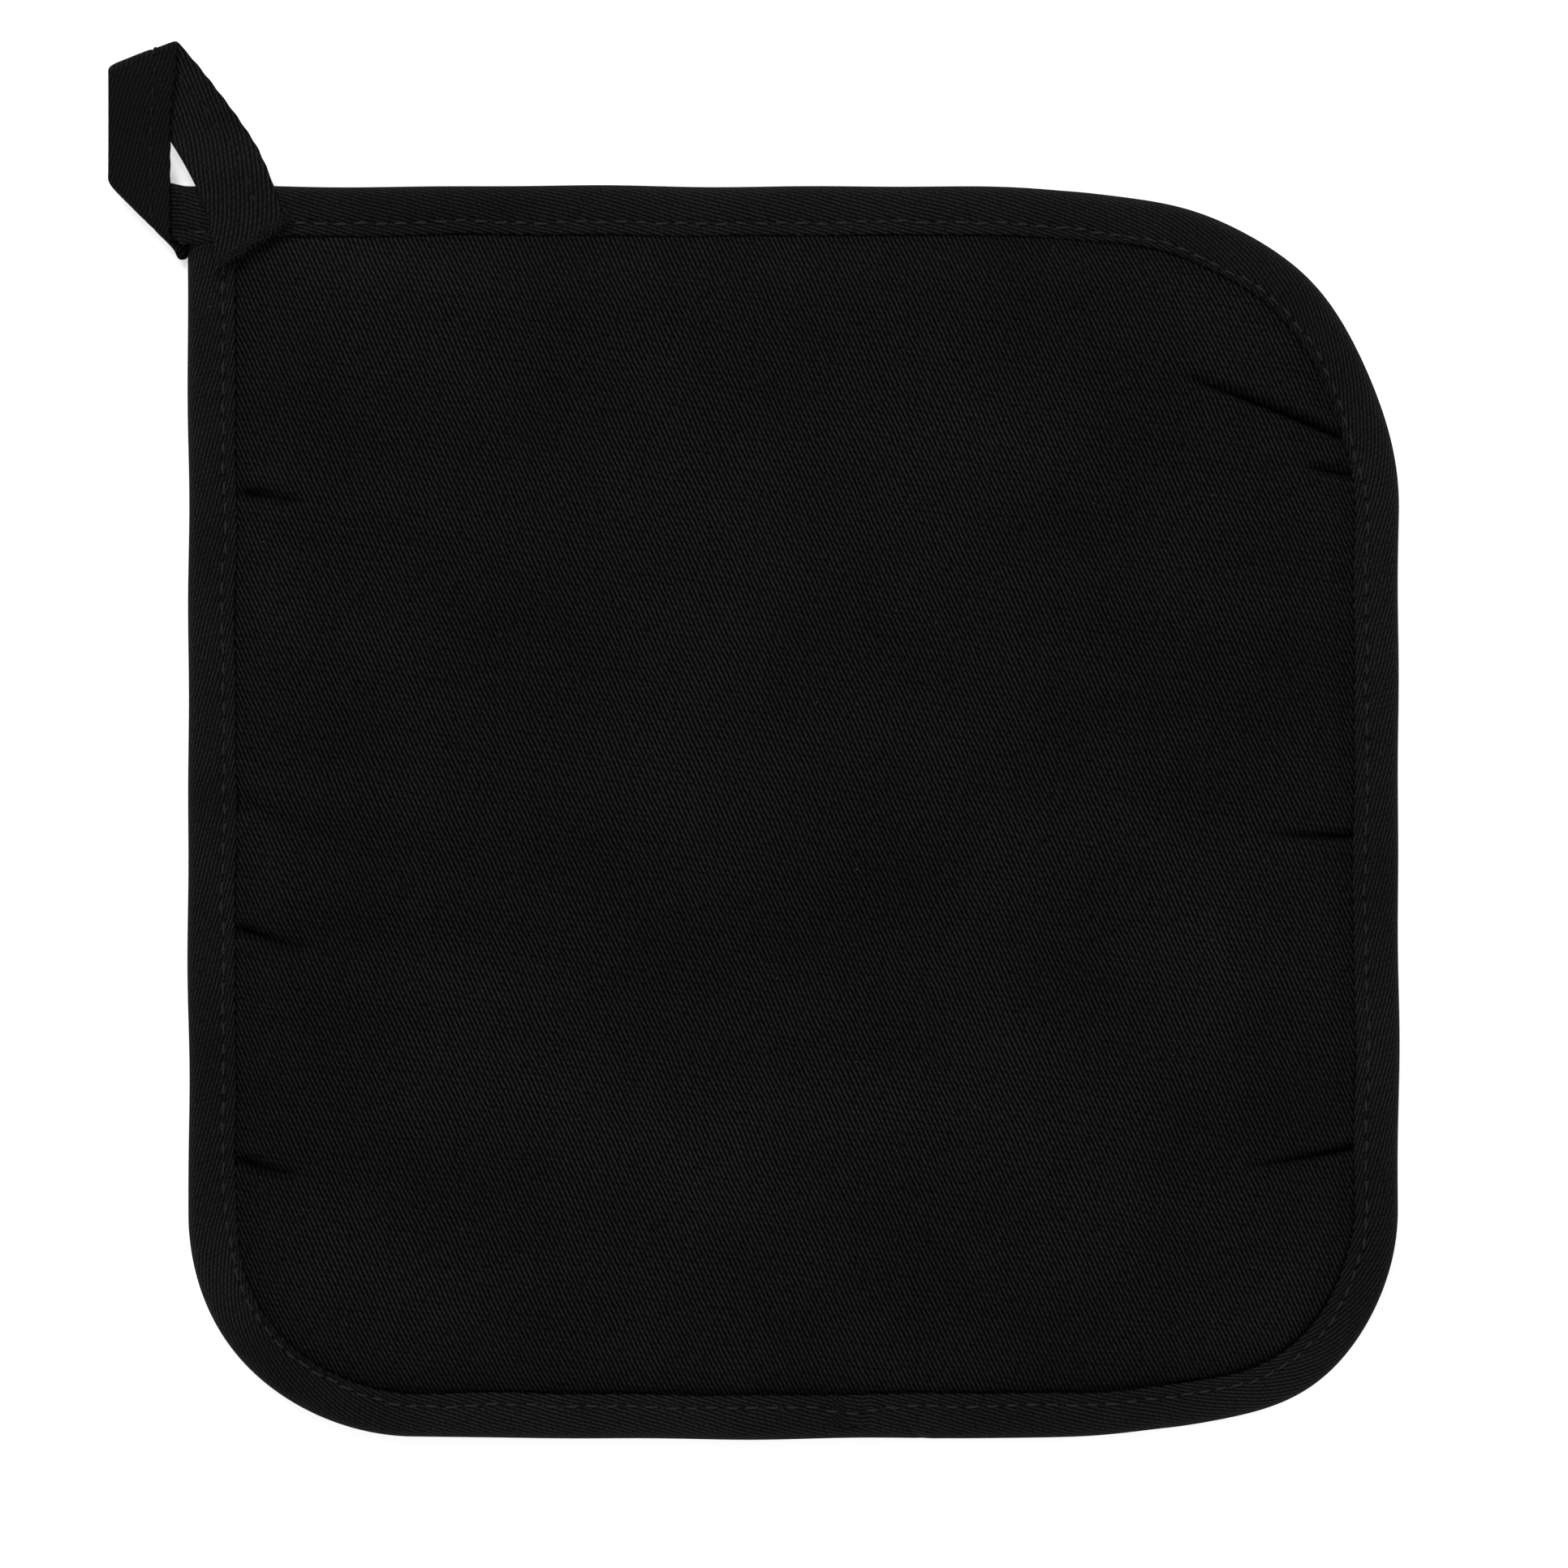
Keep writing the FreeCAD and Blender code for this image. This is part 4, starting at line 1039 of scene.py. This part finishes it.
def stitch_tree(material):
    """Geometry Nodes: one arched stitch of thread on each seat, turned to lie along its row."""
    tree = bpy.data.node_groups.new("stitches", "GeometryNodeTree")
    face = tree.interface
    face.new_socket("Seats", in_out="INPUT", socket_type="NodeSocketGeometry")
    sockets = {}
    for name, value in (("Stitch length", STITCH_LONG * MM), ("Thread", THREAD * MM),
                        ("Arch", 0.34 * MM), ("Unevenness", 0.12)):
        socket = face.new_socket(name, in_out="INPUT", socket_type="NodeSocketFloat")
        socket.default_value = value
        sockets[name] = socket.identifier
    seed = face.new_socket("Seed", in_out="INPUT", socket_type="NodeSocketInt")
    sockets["Seed"] = seed.identifier
    face.new_socket("Stitches", in_out="OUTPUT", socket_type="NodeSocketGeometry")
    inputs = node(tree, "NodeGroupInput")
    out = {name: inputs.outputs[name] for name in
           ("Seats", "Stitch length", "Thread", "Arch", "Unevenness", "Seed")}
    half = maths(tree, "MULTIPLY", out["Stitch length"], 0.5)
    minus = maths(tree, "MULTIPLY", out["Stitch length"], -0.5)
    down = maths(tree, "MULTIPLY", out["Arch"], -1.0)
    left = node(tree, "ShaderNodeCombineXYZ", [(minus, 0), (down, 2)])
    right = node(tree, "ShaderNodeCombineXYZ", [(half, 0), (down, 2)])
    lift = node(tree, "ShaderNodeCombineXYZ", [(out["Arch"], 2)])
    arch = node(tree, "GeometryNodeCurveQuadraticBezier",
                [(left.outputs[0], "Start"), (lift.outputs[0], "Middle"),
                 (right.outputs[0], "End")])
    arch.inputs["Resolution"].default_value = 7
    along = node(tree, "GeometryNodeSplineParameter")
    kept = stored(tree, arch.outputs[0], "run", along.outputs["Length"])
    radius = maths(tree, "MULTIPLY", out["Thread"], 0.5)
    ring = node(tree, "GeometryNodeCurvePrimitiveCircle", [(radius, "Radius")])
    ring.inputs["Resolution"].default_value = 8
    ring_place = node(tree, "GeometryNodeSplineParameter")
    ring_kept = stored(tree, ring.outputs[0], "turn", ring_place.outputs["Factor"])
    thread = node(tree, "GeometryNodeCurveToMesh",
                  [(kept, "Curve"), (ring_kept, "Profile Curve")])
    thread.inputs["Fill Caps"].default_value = True
    run_mm = maths(tree, "MULTIPLY", recalled(tree, "run"), 1 / MM)
    twist = node(tree, "ShaderNodeCombineXYZ", [(run_mm, 0), (recalled(tree, "turn"), 1)])
    twisted = stored(tree, thread.outputs[0], "twist", twist.outputs[0], "FLOAT_VECTOR")
    upright = node(tree, "FunctionNodeAlignRotationToVector",
                   [(recalled(tree, "up", "FLOAT_VECTOR"), "Vector")], axis="Z")
    laid = node(tree, "FunctionNodeAlignRotationToVector",
                [(upright.outputs[0], "Rotation"),
                 (recalled(tree, "heading", "FLOAT_VECTOR"), "Vector")],
                axis="X", pivot_axis="Z")
    low = maths(tree, "SUBTRACT", 1.0, out["Unevenness"])
    high = maths(tree, "ADD", out["Unevenness"], 1.0)
    size = node(tree, "FunctionNodeRandomValue", data_type="FLOAT")
    tree.links.new(low, size.inputs[2])
    tree.links.new(high, size.inputs[3])
    tree.links.new(out["Seed"], size.inputs["Seed"])
    scale = node(tree, "ShaderNodeCombineXYZ", [(size.outputs[1], 0)])
    scale.inputs[1].default_value = 1.0
    scale.inputs[2].default_value = 1.0
    placed = node(tree, "GeometryNodeInstanceOnPoints",
                  [(out["Seats"], "Points"), (twisted, "Instance"),
                   (laid.outputs[0], "Rotation"), (scale.outputs[0], "Scale")])
    real = node(tree, "GeometryNodeRealizeInstances", [(placed.outputs[0], 0)])
    smoothed = node(tree, "GeometryNodeSetShadeSmooth", [(real.outputs[0], 0)])
    painted = node(tree, "GeometryNodeSetMaterial", [(smoothed.outputs[0], 0)])
    painted.inputs["Material"].default_value = material
    node(tree, "NodeGroupOutput", [(painted.outputs[0], 0)])
    return tree, sockets


def stitches(name, seats, tree, sockets, material, **sizes):
    """A row of stitches from seats of (place, heading, up), as one plain mesh."""
    places = np.array([seat[0] for seat in seats], float)
    mesh = bpy.data.meshes.new(name)
    mesh.from_pydata((places * MM).tolist(), [], [])
    for label, column in (("heading", 1), ("up", 2)):
        values = np.array([seat[column] for seat in seats], np.float32)
        layer = mesh.attributes.new(label, "FLOAT_VECTOR", "POINT")
        layer.data.foreach_set("vector", values.ravel())
    piece = bpy.data.objects.new(name, mesh)
    bpy.context.scene.collection.objects.link(piece)
    modifier = piece.modifiers.new("stitches", "NODES")
    modifier.node_group = tree
    for label, value in sizes.items():
        modifier[sockets[label.replace("_", " ")]] = value
    apply_modifiers(piece)
    for label in ("heading", "up", "run", "turn"):
        layer = piece.data.attributes.get(label)
        if layer:
            piece.data.attributes.remove(layer)
    piece.data.materials.clear()
    piece.data.materials.append(material)
    return piece


def edge_row(front, tree, sockets, material):
    """The topstitching round the pad: the needle's row in front or the bobbin's behind."""
    stations = edge_stations(STATION)
    along, points, inward = stations
    first = 6.6 if front else 3.3
    seats = []
    random = rng(41 if front else 42)
    bow = edge_bow(along)
    for s in np.arange(first, along[-1] - 0.5, STITCH_PITCH):
        index = int(np.argmin(np.abs(along - s)))
        outer, _ = edge_section(index, stations)
        inset, height = outer[4] if front else outer[16]
        inset += random.normal(0, 0.05) + bow[index]
        place = points[index] + inward[index] * inset
        heading = np.array([-inward[index][1], inward[index][0]]) * -1
        heading = heading + random.normal(0, 0.05, 2)
        side = 1 if front else -1
        x, y, height = drawn([(*place, height)])[0]
        seats.append(((x, y, height + (0.12 if front else 0.14)), (*heading, 0), (0, 0, side)))
    name = "topstitch_front" if front else "topstitch_back"
    return stitches(name, seats, tree, sockets, material, Seed=3 if front else 4)


def loop_rows(tree, sockets, material):
    """The row along the loop's open edge, seen on both faces of the tape."""
    v = TAPE_WIDE / 2 - (TAPE_WIDE - LOOP_STITCH_IN)
    last = float(leg_ends([v])[0]) - 2.6
    u = np.arange(1.4, last, STITCH_PITCH)
    here, heading, normal = loop_frame(u, np.full(len(u), v))
    seats = []
    for side in (1, -1):
        for place, way, up in zip(here, heading, normal):
            seats.append((place + up * side * (TAPE_HALF_THICK - 0.05), way, up * side))
    return stitches("loop_stitching", seats, tree, sockets, material, Seed=5)


def bar_tack(tree, sockets, material):
    """The close zigzag that sews the leg's end down."""
    along = np.array([-math.cos(TACK_SLANT), -math.sin(TACK_SLANT)])
    across = np.array([-along[1], along[0]])
    random = rng(9)
    seats = []
    height = LEG_OVER_PAD + TAPE_HALF_THICK - LEG_PRESSED + 0.14
    for index, t in enumerate(np.linspace(0.2, TACK_LONG - 0.2, TACK_STITCHES)):
        lean = TACK_LEAN if index % 2 else -TACK_LEAN
        flat = TACK_END + along * t + across * random.normal(-0.2, 0.2)
        heading = across * math.cos(lean) + along * math.sin(lean)
        seats.append(((*flat, height), (*heading, 0), (0, 0, 1)))
    return stitches("bar_tack", seats, tree, sockets, material, Seed=6,
                    Stitch_length=2.1 * MM, Thread=0.36 * MM, Arch=0.3 * MM, Unevenness=0.2)


# ---------------------------------------------------------------- studio
CAMERA_LENS = 100.0
CAMERA_SENSOR = 36.0
VIEW_WIDE = 259.15            # what the camera sees at 2 mm up, in mm
VIEW_MIDDLE = (-1.54, 4.69)
LIGHTS = (                    # name, place, size, power
    ("key", (-0.45, 1.25, 1.15), 0.7, 24.0),
    ("fill", (0.5, -1.1, 1.2), 0.9, 14.0),
)


def studio():
    """A white floor, soft even light with a slight lean from the upper left, and the camera."""
    scene = bpy.context.scene
    bpy.ops.mesh.primitive_plane_add(size=4.0, location=(0, 0, -0.0002))
    floor = bpy.context.object
    floor.name = "floor"
    floor.data.materials.append(floor_material())
    world = bpy.data.worlds.new("soft_room")
    world.use_nodes = True
    world.node_tree.nodes["Background"].inputs[0].default_value = (1.0, 1.0, 1.0, 1.0)
    world.node_tree.nodes["Background"].inputs[1].default_value = 0.25
    scene.world = world
    for name, place, size, power in LIGHTS:
        data = bpy.data.lights.new(name, "AREA")
        data.size = size
        data.energy = power
        lamp = bpy.data.objects.new(name, data)
        lamp.location = place
        scene.collection.objects.link(lamp)
        aim = -lamp.location.normalized()
        lamp.rotation_euler = aim.to_track_quat("-Z", "Y").to_euler()
    scene.view_settings.view_transform = "Standard"
    scene.view_settings.look = "None"
    camera_data = bpy.data.cameras.new("camera")
    camera_data.lens = CAMERA_LENS
    camera_data.sensor_width = CAMERA_SENSOR
    camera = bpy.data.objects.new("camera", camera_data)
    camera_high = VIEW_WIDE * CAMERA_LENS / CAMERA_SENSOR + 2.0
    camera.location = (VIEW_MIDDLE[0] * MM, VIEW_MIDDLE[1] * MM, camera_high * MM)
    scene.collection.objects.link(camera)
    scene.camera = camera


# ---------------------------------------------------------------- the object
studio()

cover_cloth = twill("black_cotton_twill", 25.0, 0.70, "#000000", "#212122", 0.04)
tape_cloth = twill("black_bias_tape", -74.0, 0.62, "#060606", "#222223", 0.04)
# A darker, smoother copy of the tape for the strip between the loop's folds: painted shade for
# the tone the turned-over tape shows under the lamps.
strip_painted_shade_cloth = twill("black_bias_tape_of_loop", -74.0, 0.62, "#080808", "#19191a", 0.02)
thread = thread_material("spun_polyester_thread", "#1a1a1a", "#2d2d2e")
loop_thread = thread_material("spun_polyester_thread_of_loop", "#101011", "#202021")
tack_thread = thread_material("bar_tack_thread", "#0a0b0d", "#15181a")

lift_front = settled_cloth(True)
lift_back = settled_cloth(False)

stitch_nodes, stitch_sockets = stitch_tree(thread)

front_cover = cover("front_cover", 1.0, front_height, lift_front, cover_cloth, True)
back_cover = cover("back_cover", 1.25, back_height, lift_back, cover_cloth, False)
filling = wadding(lift_front, lift_back, wadding_material())
edge_binding = binding(tape_cloth)
front_row = edge_row(True, stitch_nodes, stitch_sockets, thread)
back_row = edge_row(False, stitch_nodes, stitch_sockets, thread)
loop = hanging_loop(tape_cloth, strip_painted_shade_cloth)
loop_row = loop_rows(stitch_nodes, stitch_sockets, loop_thread)
tack = bar_tack(stitch_nodes, stitch_sockets, tack_thread)

# Each piece of the pad has its transform baked into its mesh, and the model's parts that it
# stands for are hidden.
for piece, slot, nodes in (
        (front_cover, "twill_cover", ("front_cover_left", "front_cover_right")),
        (back_cover, "twill_cover", ("back_cover_left", "back_cover_right")),
        (filling, "wadding", ("wadding_left", "wadding_right")),
        (edge_binding, "binding_tape", ("binding_left", "binding_right", "piecing_seam")),
        (front_row, "sewing_thread", ("topstitch_front_left", "topstitch_front_right")),
        (back_row, "sewing_thread", ("topstitch_back_left", "topstitch_back_right"))):
    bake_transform(piece)
    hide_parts(*nodes)

# The loop and its stitching, likewise: transforms baked, and the model's loop parts hidden.
for piece, slot, nodes in (
        (loop, "binding_tape", ("loop_tape", "loop_root_tab", "loop_sewn_end")),
        (loop_row, "sewing_thread", ("loop_stitching",))):
    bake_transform(piece)
    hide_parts(*nodes)

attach(tack, "pad_left")
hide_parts("bar_tack")
